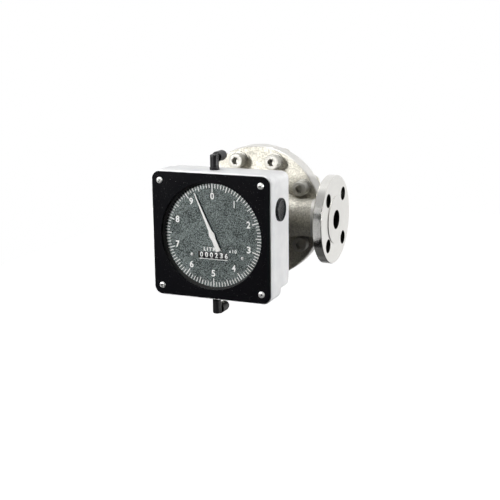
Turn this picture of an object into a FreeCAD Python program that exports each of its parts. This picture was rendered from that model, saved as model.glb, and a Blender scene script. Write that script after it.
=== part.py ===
import FreeCAD, Part
import math
import os

# Positive displacement flow meter with a square dial register.
# Origin: centre of the inlet flange's raised face. +X runs along the flow to the
# outlet, +Z is up, and the dial looks along -Y. All values are in millimetres.

V = FreeCAD.Vector
X_AXIS = V(1, 0, 0)
Y_AXIS = V(0, 1, 0)
Z_AXIS = V(0, 0, 1)

# ---- driving dimensions -------------------------------------------------------

# Pipe ends: 25 mm nominal bore, 125 mm weld-neck flanges, four 19 mm holes on a 90 mm
# circle; the inlet's holes are drilled 0.4 mm wider, to take up the body's tolerance
FACE_TO_FACE = 250.0
FLANGE_R = 62.5
FLANGE_THICK = 14.0
RAISED_FACE_R = 33.5
RAISED_FACE_H = 1.0
OUTLET_HOLE_R = 9.5
INLET_HOLE_R = 9.7
FLANGE_HOLE_PCD_R = 45.0
FLANGE_HOLES = 4
BORE_R = 13.5
PORT_DEPTH = 70.0
THROAT_R = 12.0
NECK_R = 27.0
NECK_FILLET_R = 7.0
WELD_X = FLANGE_THICK + NECK_FILLET_R

# Reduction gears: one module, three 10-tooth pinions, wheels of 40, 50 and 50 teeth
GEAR_MODULE = 0.75
PINION_TEETH = 10
FIRST_WHEEL_TEETH = 40
SECOND_WHEEL_TEETH = 50
TIMING_TEETH = 35

# The register stands a little towards the outlet from the measuring chamber
BODY_X = FACE_TO_FACE / 2
REGISTER_OFFSET = 6.0
REGISTER_X = BODY_X + REGISTER_OFFSET

# Rotor pitch radius, so that the first pinion and wheel mesh at their true centres
FIRST_STAGE_CENTRES = GEAR_MODULE * (PINION_TEETH + FIRST_WHEEL_TEETH) / 2
ROTOR_PITCH_R = math.sqrt(FIRST_STAGE_CENTRES ** 2 - REGISTER_OFFSET ** 2)
ROTOR_TIP_R = 1.5 * ROTOR_PITCH_R
ROTOR_GAP = 0.08
ROTOR_END_GAP = 0.08
CHAMBER_FRONT_Y = -19.0
JOINT_Y = 26.0
ROTOR_SHAFT_R = 5.0
SHAFT_GAP = 0.05
BUSH_R = 7.0
BUSH_LENGTH = 10.0

# Body: drum round the chamber and the large bolting disc behind it
DRUM_R = 54.0
DRUM_FRONT_Y = -40.0
FRONT_COLLAR_R = 58.0
FRONT_COLLAR_DEPTH = 11.0
DISC_R = 97.0
DISC_FRONT_Y = 14.0
DISC_CHAMFER = 1.2
DISC_FILLET_R = 5.0

# Rear cover: rim, domed gear housing, ribbed screw bosses
COVER_RIM_THICK = 12.0
COVER_DOME_R = 62.0
COVER_DOME_ROUND = 8.0
COVER_DOME_FILLET = 4.0
COVER_BACK_Y = 54.0
COVER_BOSS_R = 14.0
COVER_BOSS_BACK_Y = 48.0
COVER_RIB_THICK = 10.0
COVER_EDGE = 1.5
COVER_SCREW_PCD_R = 81.0
COVER_SCREW_ANGLES = (30.0, 70.0)
COVER_SCREW_R = 7.0
COVER_SCREW_PLAY = 0.75
COVER_SCREW_HEAD_R = 10.5
COVER_SCREW_HEAD_H = 14.0
WASHER_R = 12.0
WASHER_THICK = 3.6
WASHER_PLAY = 0.8
WASHER_SPLIT = 1.6
BEARING_PLATE_R = 50.0
BEARING_PLATE_THICK = 8.0

# Magnet coupling through the front wall
MAGNET_R = 12.5
MAGNET_POCKET_R = 13.5
ISOLATING_PLATE_R = 20.0
ISOLATING_PLATE_THICK = 1.2

# Register adapter: hollow neck between the drum and the register case
ADAPTER_BASE_R = 50.0
ADAPTER_BASE_THICK = 8.0
ADAPTER_TUBE_R = 36.0
ADAPTER_BORE_R = 32.0
ADAPTER_TOP_R = 42.0
ADAPTER_TOP_THICK = 5.0

# Register case, 170 mm square in front and lower behind
CASE_SIZE = 170.0
CASE_CORNER_R = 12.0
CASE_WALL = 4.0
PLATE_FRONT_Y = -164.0
PLATE_SIZE = 166.8
PLATE_CORNER_R = 10.5
PLATE_THICK = 2.0
FRAME_THICK = 3.0
CASE_GASKET_THICK = 1.0
CASE_STEP_Y = -128.0
CASE_BACK_Y = -93.0
REAR_TOP_Z = 82.0
REAR_BOTTOM_Z = -75.0
REAR_EDGE_R = 7.0
OPENING_R = 72.2
PLATE_SCREW_X = 72.0
PLATE_SCREW_Z = 71.4
GLASS_R = 75.0

# Dial, pointer and counter
DIAL_FRONT_Y = PLATE_FRONT_Y + 8.5
DIAL_THICK = 1.0
DIAL_R = 76.0
DIAL_RING_INNER_R = 69.8
POINTER_Y = -158.3
POINTER_THICK = 0.8
POINTER_SKIN = 0.3
POINTER_TIP = 61.5
POINTER_TAIL = 22.0
POINTER_ANGLE = 24.0
COUNTER_Z = -27.0
COUNTER_Y = -140.7
WINDOW_W = 44.0
WINDOW_H = 9.0
NUMBER_WHEELS = 6
NUMBER_WHEEL_R = 13.0
NUMBER_WHEEL_PITCH = 7.2
NUMBER_WHEEL_WIDTH = 6.9
DIAL_SCREW_X = (-31.0, 42.0)
DIAL_SCREW_Z = -27.5

# Air fittings on the top and the bottom of the case, and the plug in its side
FITTING_X = REGISTER_X - 3.0
FITTING_Y = -140.0
ELBOW_R = 5.8
TOP_ELBOW_HEIGHT = 16.3
BOTTOM_ELBOW_HEIGHT = 21.3
SLEEVE_R = 6.9
SLEEVE_START = 7.0
SLEEVE_END = 24.0
TUBE_R = 4.0
PLUG_Y = -131.0
PLUG_Z = 36.0
PLUG_R = 15.4
PLUG_PROUD = 3.6


# Cutting shapes reach this far past the faces they open
BEYOND = 1.0

# Edges are picked by their place, to within this
EDGE_TOLERANCE = 0.01


# ---- shape helpers ------------------------------------------------------------

def rod_y(x, z, y0, y1, r):
    """Round bar along Y."""
    return Part.makeCylinder(r, y1 - y0, V(x, y0, z), Y_AXIS)


def ring_y(x, z, y0, y1, outer_r, inner_r):
    """Plain ring along Y."""
    return rod_y(x, z, y0, y1, outer_r).cut(rod_y(x, z, y0, y1, inner_r))


def rod_x(y, z, x0, x1, r):
    """Round bar along X."""
    return Part.makeCylinder(r, x1 - x0, V(x0, y, z), X_AXIS)


def polygon_face(points):
    """Flat face through a closed list of points."""
    return Part.Face(Part.makePolygon(points + [points[0]]))


def outline(points):
    """Closed outline in the XZ plane; a point's third value rounds its corner."""
    spots = [V(point[0], 0, point[1]) for point in points]
    corners = []
    for k, point in enumerate(points):
        here = spots[k]
        if len(point) == 2:
            corners.append((here, None, here))
            continue
        back = (spots[k - 1] - here).normalize()
        ahead = (spots[(k + 1) % len(spots)] - here).normalize()
        half = back.getAngle(ahead) / 2
        reach = point[2] / math.tan(half)
        inward = (back + ahead).normalize()
        middle = here + inward * (point[2] / math.sin(half) - point[2])
        corners.append((here + back * reach, middle, here + ahead * reach))
    edges = []
    for k, (first, middle, last) in enumerate(corners):
        if middle:
            edges.append(Part.Arc(first, middle, last).toShape())
        following = corners[(k + 1) % len(corners)][0]
        edges.append(Part.makeLine(last, following))
    return Part.Wire(edges)


def turned(points, place, axis):
    """Turned piece from (radius, length) points, laid along an axis from a place."""
    piece = Part.Face(outline(points)).revolve(V(0, 0, 0), Z_AXIS, 360)
    piece.Placement = FreeCAD.Placement(place, FreeCAD.Rotation(Z_AXIS, axis))
    return piece


def rounded_slab(x0, x1, z0, z1, corner_r, y0, y1):
    """Slab facing Y with four rounded corners."""
    slab = Part.makeBox(x1 - x0, y1 - y0, z1 - z0, V(x0, y0, z0))
    corners = [e for e in slab.Edges if abs(e.tangentAt(e.FirstParameter).y) > 0.9]
    return slab.makeFillet(corner_r, corners)


def case_slab(size, corner_r, y0, y1):
    """Square slab centred on the register's axis."""
    half = size / 2
    return rounded_slab(REGISTER_X - half, REGISTER_X + half, -half, half, corner_r, y0, y1)


def on_circle(count, radius, start_deg):
    """Places evenly spread round a circle, as pairs."""
    turns = [math.radians(start_deg + 360 * k / count) for k in range(count)]
    return [(radius * math.cos(a), radius * math.sin(a)) for a in turns]


def fused(shapes):
    """One solid from shapes that overlap or touch."""
    return shapes[0].multiFuse(shapes[1:]).removeSplitter()


def group(shapes):
    """Separate solids kept in one node."""
    return Part.makeCompound(shapes)


HEAD_CHAMFER_SHARE = 0.1
SOCKET_WIDTH_SHARE = 0.55
SOCKET_DEPTH_SHARE = 0.5


def cap_screw(x, z, seat_y, head_r, head_h, shank_r, shank_length):
    """Socket head screw along +Y, its head in front of the seat."""
    front_y = seat_y - head_h
    chamfer = head_r * HEAD_CHAMFER_SHARE
    points = [(0, 0), (head_r - chamfer, 0), (head_r, chamfer), (head_r, head_h),
              (shank_r, head_h), (shank_r, head_h + shank_length), (0, head_h + shank_length)]
    screw = turned(points, V(x, front_y, z), Y_AXIS)
    socket_r = head_r * SOCKET_WIDTH_SHARE
    corners = [V(x + cx, front_y, z + cz) for cx, cz in on_circle(6, socket_r, 0)]
    socket = polygon_face(corners).extrude(V(0, head_h * SOCKET_DEPTH_SHARE, 0))
    return screw.cut(socket)


# Tooth form: heights in modules, half widths in steps of the pitch
TOOTH_TIP = 0.75
TOOTH_ROOT = 1.05
TOOTH_TIP_HALF = 0.16
TOOTH_ROOT_HALF = 0.30


def gear_face(centre, u, w, teeth, module, tooth_angle):
    """Face of a spur gear in the plane of u and w, a tooth centred on tooth_angle."""
    pitch_r = module * teeth / 2
    step = 2 * math.pi / teeth
    stations = ((-TOOTH_ROOT_HALF, -TOOTH_ROOT), (-TOOTH_TIP_HALF, TOOTH_TIP),
                (TOOTH_TIP_HALF, TOOTH_TIP), (TOOTH_ROOT_HALF, -TOOTH_ROOT))
    points = []
    for k in range(teeth):
        for along, height in stations:
            a = tooth_angle + (k + along) * step
            r = pitch_r + height * module
            points.append(centre + u * (r * math.cos(a)) + w * (r * math.sin(a)))
    return polygon_face(points)


def gear_y(x, z, y0, y1, teeth, module, tooth_angle, bore_r):
    """Spur gear along Y with a bore."""
    face = gear_face(V(x, y0, z), X_AXIS, Z_AXIS, teeth, module, tooth_angle)
    gear = face.extrude(V(0, y1 - y0, 0))
    return gear.cut(rod_y(x, z, y0, y1, bore_r)) if bore_r else gear


def gear_x(y, z, x0, x1, teeth, module, tooth_angle, bore_r):
    """Spur gear along X with a bore."""
    face = gear_face(V(x0, y, z), Y_AXIS, Z_AXIS, teeth, module, tooth_angle)
    gear = face.extrude(V(x1 - x0, 0, 0))
    return gear.cut(rod_x(y, z, x0, x1, bore_r)) if bore_r else gear


# ---- measuring body -----------------------------------------------------------

ROTOR_TOP = (BODY_X, ROTOR_PITCH_R)
ROTOR_LOW = (BODY_X, -ROTOR_PITCH_R)
COUPLING_AXIS = ROTOR_LOW
CHAMBER_R = ROTOR_TIP_R + ROTOR_GAP
FRONT_BUSH_END_Y = CHAMBER_FRONT_Y - BUSH_LENGTH
PLATE_BACK_Y = JOINT_Y + BEARING_PLATE_THICK
FLANGE_EDGE = 1.0
NECK_FLARE = 5.0
NECK_FLARE_LENGTH = 20.0
NECK_SUNK = 4.0
COLLAR_EDGE = 2.5
COLLAR_SLOPE = 4.0


def pipe_flange(hole_r):
    """Weld-neck flange for the inlet, its raised face on the origin."""
    points = [(BORE_R, 0), (RAISED_FACE_R, 0), (RAISED_FACE_R, RAISED_FACE_H),
              (FLANGE_R - FLANGE_EDGE, RAISED_FACE_H), (FLANGE_R, RAISED_FACE_H + FLANGE_EDGE),
              (FLANGE_R, FLANGE_THICK - FLANGE_EDGE), (FLANGE_R - FLANGE_EDGE, FLANGE_THICK),
              (NECK_R, FLANGE_THICK, NECK_FILLET_R), (NECK_R, WELD_X + BEYOND),
              (BORE_R, WELD_X + BEYOND)]
    flange = turned(points, V(0, 0, 0), X_AXIS)
    beyond_weld = rod_x(0, 0, WELD_X, WELD_X + 2 * BEYOND, FLANGE_R)
    holes = [rod_x(y, z, -BEYOND, WELD_X, hole_r)
             for y, z in on_circle(FLANGE_HOLES, FLANGE_HOLE_PCD_R, 45)]
    return flange.cut(Part.makeCompound(holes + [beyond_weld]))


def inlet_flange():
    """Flange at the inlet."""
    return pipe_flange(INLET_HOLE_R)


def outlet_flange():
    """Flange at the outlet, the inlet's mirror image but for its holes."""
    return pipe_flange(OUTLET_HOLE_R).mirror(V(FACE_TO_FACE / 2, 0, 0), X_AXIS)


def necks():
    """Cast necks from one weld to the other, flared where they meet the drum."""
    drum_x = BODY_X - DRUM_R + NECK_SUNK
    half = [(0, WELD_X), (NECK_R, WELD_X), (NECK_R, drum_x - NECK_FLARE_LENGTH),
            (NECK_R + NECK_FLARE, drum_x)]
    mirrored = [(r, FACE_TO_FACE - h) for r, h in reversed(half)]
    return turned(half + mirrored, V(0, 0, 0), X_AXIS)


def drum_and_disc():
    """Drum round the measuring chamber with its front collar and rear bolting disc."""
    collar_back = DRUM_FRONT_Y + FRONT_COLLAR_DEPTH
    points = [(0, DRUM_FRONT_Y), (FRONT_COLLAR_R - COLLAR_EDGE, DRUM_FRONT_Y),
              (FRONT_COLLAR_R, DRUM_FRONT_Y + COLLAR_EDGE), (FRONT_COLLAR_R, collar_back),
              (DRUM_R, collar_back + COLLAR_SLOPE), (DRUM_R, DISC_FRONT_Y, DISC_FILLET_R),
              (DISC_R - DISC_CHAMFER, DISC_FRONT_Y), (DISC_R, DISC_FRONT_Y + DISC_CHAMFER),
              (DISC_R, JOINT_Y), (0, JOINT_Y)]
    return turned(points, V(BODY_X, 0, 0), Y_AXIS)


def chamber_space(y0, y1):
    """Two crossing round bores that the rotors sweep."""
    top = rod_y(ROTOR_TOP[0], ROTOR_TOP[1], y0, y1, CHAMBER_R)
    low = rod_y(ROTOR_LOW[0], ROTOR_LOW[1], y0, y1, CHAMBER_R)
    return top.fuse(low)


O_RING_R = 58.0
O_RING_WIDTH = 5.0
O_RING_DEPTH = 3.6
SMALL_RING_R = 16.5
SMALL_RING_WIDTH = 2.4
SMALL_RING_DEPTH = 1.8
ADAPTER_SCREW_R = 4.0
ADAPTER_SCREW_PCD_R = 43.0
ADAPTER_SCREW_DEPTH = 14.0
ADAPTER_SCREWS = 4
SPOT_FACE_DEPTH = 0.6
PLATE_FIX_R = 2.5
PLATE_FIX_HEAD_R = 4.25
PLATE_FIX_HEAD_H = 5.0
PLATE_FIX_PCD_R = 44.0
PLATE_FIX_ANGLE = math.radians(20)
PLATE_FIX_PLAY = 0.2
PLATE_FIX_DEPTH = 10.0
PLATE_FIX_LENGTH = 12.0
BUSH_RELIEF = 2.0
POCKET_OVERLAP = 0.5


def cover_screw_places():
    """Axes of the cover screws, clear of the neck line on both sides."""
    places = []
    for turn in COVER_SCREW_ANGLES:
        reach = COVER_SCREW_PCD_R * math.cos(math.radians(turn))
        rise = COVER_SCREW_PCD_R * math.sin(math.radians(turn))
        places += [(BODY_X + sx * reach, sz * rise) for sx in (-1, 1) for sz in (-1, 1)]
    return places


def adapter_screw_places():
    """Axes of the screws that hold the adapter on the drum."""
    return [(REGISTER_X + x, z) for x, z in on_circle(ADAPTER_SCREWS, ADAPTER_SCREW_PCD_R, 45)]


def bearing_plate_screw_places():
    """Axes of the four bearing plate screws, beside the chamber's waist."""
    reach = PLATE_FIX_PCD_R * math.cos(PLATE_FIX_ANGLE)
    rise = PLATE_FIX_PCD_R * math.sin(PLATE_FIX_ANGLE)
    return [(BODY_X + sx * reach, sz * rise) for sx in (-1, 1) for sz in (-1, 1)]


def flow_cuts():
    """Ports, throats and rotor chamber, with nothing left behind the joint face."""
    far_port = FACE_TO_FACE - PORT_DEPTH
    return [rod_x(0, 0, WELD_X - BEYOND, PORT_DEPTH, BORE_R),
            rod_x(0, 0, far_port, FACE_TO_FACE - WELD_X + BEYOND, BORE_R),
            rod_x(0, 0, PORT_DEPTH - BEYOND, BODY_X - CHAMBER_R / 2, THROAT_R),
            rod_x(0, 0, BODY_X + CHAMBER_R / 2, far_port + BEYOND, THROAT_R),
            chamber_space(CHAMBER_FRONT_Y, JOINT_Y + BEYOND),
            rod_y(BODY_X, 0, JOINT_Y, JOINT_Y + NECK_R, DISC_R + BEYOND),
            ring_y(BODY_X, 0, JOINT_Y - O_RING_DEPTH, JOINT_Y + BEYOND,
                   O_RING_R + O_RING_WIDTH / 2, O_RING_R - O_RING_WIDTH / 2)]


def coupling_cuts():
    """Bush seats, the magnet's pocket and the groove of its seal."""
    seat_end = FRONT_BUSH_END_Y - BUSH_RELIEF
    cuts = [rod_y(x, z, seat_end, CHAMBER_FRONT_Y + BEYOND, BUSH_R)
            for x, z in (ROTOR_TOP, ROTOR_LOW)]
    cuts.append(rod_y(*COUPLING_AXIS, DRUM_FRONT_Y - BEYOND, seat_end + POCKET_OVERLAP,
                      MAGNET_POCKET_R))
    cuts.append(ring_y(*COUPLING_AXIS, DRUM_FRONT_Y - BEYOND, DRUM_FRONT_Y + SMALL_RING_DEPTH,
                       SMALL_RING_R + SMALL_RING_WIDTH / 2, SMALL_RING_R - SMALL_RING_WIDTH / 2))
    return cuts


def screw_cuts():
    """Holes of the cover, adapter and bearing plate screws, with spot faces."""
    cuts = []
    for x, z in cover_screw_places():
        cuts.append(rod_y(x, z, DISC_FRONT_Y - BEYOND, JOINT_Y + BEYOND,
                          COVER_SCREW_R + COVER_SCREW_PLAY))
        cuts.append(rod_y(x, z, -NECK_R, DISC_FRONT_Y + SPOT_FACE_DEPTH,
                          WASHER_R + WASHER_PLAY))
    for x, z in adapter_screw_places():
        cuts.append(rod_y(x, z, DRUM_FRONT_Y - BEYOND, DRUM_FRONT_Y + ADAPTER_SCREW_DEPTH,
                          ADAPTER_SCREW_R))
    for x, z in bearing_plate_screw_places():
        cuts.append(rod_y(x, z, JOINT_Y - PLATE_FIX_DEPTH, JOINT_Y + BEYOND, PLATE_FIX_R))
    return cuts


def body_casting():
    """One casting: necks, drum and bolting disc, bored for rotors and flow."""
    body = necks().fuse(drum_and_disc())
    return body.cut(Part.makeCompound(flow_cuts() + coupling_cuts() + screw_cuts()))


def bearing_plate():
    """Round plate that closes the chamber and carries the rear bushes."""
    plate = rod_y(BODY_X, 0, JOINT_Y, PLATE_BACK_Y, BEARING_PLATE_R)
    for x, z in (ROTOR_TOP, ROTOR_LOW):
        plate = plate.cut(rod_y(x, z, JOINT_Y - BEYOND, PLATE_BACK_Y + BEYOND, BUSH_R))
    for x, z in bearing_plate_screw_places():
        plate = plate.cut(rod_y(x, z, JOINT_Y - BEYOND, PLATE_BACK_Y + BEYOND, PLATE_FIX_R))
        plate = plate.cut(rod_y(x, z, PLATE_BACK_Y - PLATE_FIX_HEAD_H, PLATE_BACK_Y + BEYOND,
                                PLATE_FIX_HEAD_R + PLATE_FIX_PLAY))
    return plate


def bearing_plate_screws():
    """Four sunk socket screws through the bearing plate into the body."""
    screws = []
    seat = PLATE_BACK_Y - PLATE_FIX_HEAD_H
    for x, z in bearing_plate_screw_places():
        head = rod_y(x, z, seat, PLATE_BACK_Y, PLATE_FIX_HEAD_R)
        screws.append(head.fuse(rod_y(x, z, seat - PLATE_FIX_LENGTH, seat, PLATE_FIX_R)))
    return group(screws)


TIMING_MODULE = 2 * ROTOR_PITCH_R / TIMING_TEETH
TIMING_FRONT_Y = PLATE_BACK_Y + 1.0
TIMING_WIDTH = 8.0
TIMING_SPACE_R = 41.0
GEAR_SPACE_BACK_Y = TIMING_FRONT_Y + TIMING_WIDTH + 2.5
BEARING_PLATE_PLAY = 0.2
COVER_HOLE_END_Y = COVER_BOSS_BACK_Y - 3.0
COVER_SCREW_END_Y = COVER_BOSS_BACK_Y - 4.0


def rear_cover():
    """Cover casting: flat rim, domed gear housing, ribs and screw bosses."""
    rim_back = JOINT_Y + COVER_RIM_THICK
    points = [(0, JOINT_Y), (DISC_R, JOINT_Y), (DISC_R, rim_back - COVER_EDGE),
              (DISC_R - COVER_EDGE, rim_back), (COVER_DOME_R, rim_back, COVER_DOME_FILLET),
              (COVER_DOME_R, COVER_BACK_Y, COVER_DOME_ROUND), (0, COVER_BACK_Y)]
    cover = turned(points, V(BODY_X, 0, 0), Y_AXIS)
    extras = []
    for x, z in cover_screw_places():
        extras.append(rod_y(x, z, rim_back - BEYOND, COVER_BOSS_BACK_Y, COVER_BOSS_R))
        extras.append(cover_rib(math.atan2(z, x - BODY_X), rim_back - BEYOND))
    cover = fused([cover] + extras)
    cuts = [rod_y(BODY_X, 0, JOINT_Y - BEYOND, PLATE_BACK_Y + BEARING_PLATE_PLAY,
                  BEARING_PLATE_R + BEARING_PLATE_PLAY),
            rod_y(BODY_X, 0, JOINT_Y, GEAR_SPACE_BACK_Y, TIMING_SPACE_R)]
    for x, z in cover_screw_places():
        cuts.append(rod_y(x, z, JOINT_Y - BEYOND, COVER_HOLE_END_Y, COVER_SCREW_R))
    return cover.cut(Part.makeCompound(cuts))


def cover_rib(angle, y0):
    """Straight rib from the dome out to one screw boss."""
    start = COVER_DOME_R - COVER_DOME_ROUND - COVER_DOME_FILLET
    rib = Part.makeBox(COVER_SCREW_PCD_R - start, COVER_HOLE_END_Y - y0, COVER_RIB_THICK,
                       V(start, y0, -COVER_RIB_THICK / 2))
    rib.rotate(V(0, 0, 0), Y_AXIS, -math.degrees(angle))
    rib.translate(V(BODY_X, 0, 0))
    return rib


def cover_o_ring():
    """Seal in the groove between body and rear cover."""
    return ring_y(BODY_X, 0, JOINT_Y - O_RING_DEPTH, JOINT_Y,
                  O_RING_R + O_RING_WIDTH / 2, O_RING_R - O_RING_WIDTH / 2)


def cover_screws():
    """Eight M14 socket head screws that clamp the rear cover."""
    seat = DISC_FRONT_Y + SPOT_FACE_DEPTH - WASHER_THICK
    length = COVER_SCREW_END_Y - seat
    return group([cap_screw(x, z, seat, COVER_SCREW_HEAD_R, COVER_SCREW_HEAD_H,
                            COVER_SCREW_R, length) for x, z in cover_screw_places()])


def spring_washers():
    """Split spring washers under the screw heads."""
    washers = []
    seat = DISC_FRONT_Y + SPOT_FACE_DEPTH
    for x, z in cover_screw_places():
        washer = ring_y(x, z, seat - WASHER_THICK, seat, WASHER_R, COVER_SCREW_R)
        split = Part.makeBox(WASHER_R, WASHER_THICK + 2 * BEYOND, WASHER_SPLIT,
                             V(x, seat - WASHER_THICK - BEYOND, z - WASHER_SPLIT / 2))
        washers.append(washer.cut(split))
    return group(washers)


# ---- rotors, timing gears and magnet coupling ----------------------------------

POINTS_PER_QUARTER = 7
ROTOR_SHRINK = 0.09
NORMAL_STEP = 0.001
SHAFT_PAST_GEAR = 1.0


def cycloid_point(quarter, share):
    """Point on the two-lobe outline: lobes on even quarters, hollows on odd ones."""
    side = 1 if quarter % 2 == 0 else -1
    roll = ROTOR_PITCH_R / 4
    arm = ROTOR_PITCH_R + side * roll
    start = (quarter - 0.5) * math.pi / 2
    swept = share * math.pi / 2
    spin = swept * arm / roll
    x = arm * math.cos(swept) - side * roll * math.cos(spin)
    z = arm * math.sin(swept) - roll * math.sin(spin)
    return (x * math.cos(start) - z * math.sin(start),
            x * math.sin(start) + z * math.cos(start))


def rotor_face(x, z, y, turn_deg):
    """Two-lobe rotor section, set back along its normal for running clearance."""
    points = []
    for quarter in range(4):
        for k in range(POINTS_PER_QUARTER):
            share = (k + 0.5) / POINTS_PER_QUARTER
            px, pz = cycloid_point(quarter, share)
            ax, az = cycloid_point(quarter, share - NORMAL_STEP)
            bx, bz = cycloid_point(quarter, share + NORMAL_STEP)
            run = math.hypot(bx - ax, bz - az)
            nx = (bz - az) / run
            nz = (ax - bx) / run
            points.append(V(px - nx * ROTOR_SHRINK, 0, pz - nz * ROTOR_SHRINK))
    curve = Part.BSplineCurve()
    curve.interpolate(Points=points, PeriodicFlag=True)
    face = Part.Face(Part.Wire(curve.toShape()))
    face.rotate(V(0, 0, 0), Y_AXIS, -turn_deg)
    face.translate(V(x, y, z))
    return face


def rotor(place, turn_deg, front_y):
    """Rotor and its shaft in one piece, the shaft running from front_y to the gears."""
    x, z = place
    length = JOINT_Y - CHAMBER_FRONT_Y - 2 * ROTOR_END_GAP
    lobes = rotor_face(x, z, CHAMBER_FRONT_Y + ROTOR_END_GAP, turn_deg)
    lobes = lobes.extrude(V(0, length, 0))
    shaft_end = TIMING_FRONT_Y + TIMING_WIDTH + SHAFT_PAST_GEAR
    return lobes.fuse(rod_y(x, z, front_y, shaft_end, ROTOR_SHAFT_R))


MAGNET_BACK_Y = FRONT_BUSH_END_Y - 2.5
MAGNET_LENGTH = 7.0


def rotor_top():
    """Upper rotor."""
    return rotor(ROTOR_TOP, 0, FRONT_BUSH_END_Y)


def rotor_low():
    """Lower rotor, a quarter turn ahead; its shaft reaches into the magnet pocket."""
    return rotor(ROTOR_LOW, 90, MAGNET_BACK_Y - MAGNET_LENGTH)


def rotor_bushes():
    """Four carbon bushes that carry the two rotor shafts."""
    bore = ROTOR_SHAFT_R + SHAFT_GAP
    bushes = []
    for x, z in (ROTOR_TOP, ROTOR_LOW):
        bushes.append(ring_y(x, z, FRONT_BUSH_END_Y, CHAMBER_FRONT_Y, BUSH_R, bore))
        bushes.append(ring_y(x, z, JOINT_Y, PLATE_BACK_Y, BUSH_R, bore))
    return group(bushes)


def timing_gear(place, tooth_angle):
    """One of the equal gears that keep the rotors a quarter turn apart."""
    return gear_y(*place, TIMING_FRONT_Y, TIMING_FRONT_Y + TIMING_WIDTH, TIMING_TEETH,
                  TIMING_MODULE, tooth_angle, ROTOR_SHAFT_R)


def timing_gear_top():
    """Timing gear of the upper rotor, a tooth pointing straight down."""
    return timing_gear(ROTOR_TOP, -math.pi / 2)


def timing_gear_low():
    """Timing gear of the lower rotor, a gap pointing straight up."""
    return timing_gear(ROTOR_LOW, math.pi / 2 + math.pi / TIMING_TEETH)


def drive_magnet():
    """Magnet ring on the wet end of the lower rotor's shaft."""
    return ring_y(*COUPLING_AXIS, MAGNET_BACK_Y - MAGNET_LENGTH, MAGNET_BACK_Y,
                  MAGNET_R, ROTOR_SHAFT_R)


def isolating_plate():
    """Thin stainless disc that seals the liquid from the dry side of the coupling."""
    return rod_y(*COUPLING_AXIS, DRUM_FRONT_Y - ISOLATING_PLATE_THICK, DRUM_FRONT_Y,
                 ISOLATING_PLATE_R)


def isolating_o_ring():
    """Seal ring under the isolating plate."""
    return ring_y(*COUPLING_AXIS, DRUM_FRONT_Y, DRUM_FRONT_Y + SMALL_RING_DEPTH,
                  SMALL_RING_R + SMALL_RING_WIDTH / 2, SMALL_RING_R - SMALL_RING_WIDTH / 2)


# ---- adapter and its gears -----------------------------------------------------

ADAPTER_BASE_Y = DRUM_FRONT_Y - ADAPTER_BASE_THICK
ADAPTER_TOP_Y = CASE_BACK_Y + ADAPTER_TOP_THICK
CASE_SCREW_PCD_R = 37.5
CASE_SCREW_R = 2.5
SMALL_SHAFT_R = 2.0
MAIN_SHAFT_R = 2.5
MAGNET_GAP = 1.0
FOLLOWER_BACK_Y = DRUM_FRONT_Y - ISOLATING_PLATE_THICK - MAGNET_GAP
FOLLOWER_FRONT_Y = FOLLOWER_BACK_Y - MAGNET_LENGTH
FIRST_WHEEL_Y = -56.5
WHEEL_THICK = 3.0
PINION_PAST_WHEEL = 1.0
FIRST_MESH_ANGLE = math.atan2(-ROTOR_PITCH_R, -REGISTER_OFFSET)
BRACKET_BACK_Y = -60.0
BRACKET_FRONT_Y = -66.0
BRACKET_R = ADAPTER_BORE_R - 0.1
BRACKET_LEG_R = 3.0
BRACKET_LEG_PCD_R = 26.0
BRACKET_LEG_TURNS = (75.0, 180.0, 285.0)
BRACKET_BOSS_FRONT_Y = BRACKET_FRONT_Y - 4.0
SMALL_BOSS_R = 5.0
MAIN_BOSS_R = 6.0
ADAPTER_EDGE = 1.5
ADAPTER_TUBE_FILLET = 0.4
ADAPTER_TOP_SLOPE = 4.0
ISOLATING_PLAY = 0.1
ADAPTER_SCREW_PLAY = 0.3
ADAPTER_HEAD_R = 6.5
ADAPTER_HEAD_H = 8.0
SCREW_END_GAP = 2.0
MAIN_SHAFT_SUNK = 3.0
MAIN_SHAFT_END_GAP = 0.5
CASE_SCREW_DEPTH = 2.0


def case_screw_places():
    """Axes of the four screws between register case and adapter."""
    return [(REGISTER_X + x, z) for x, z in on_circle(4, CASE_SCREW_PCD_R, 45)]


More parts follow.
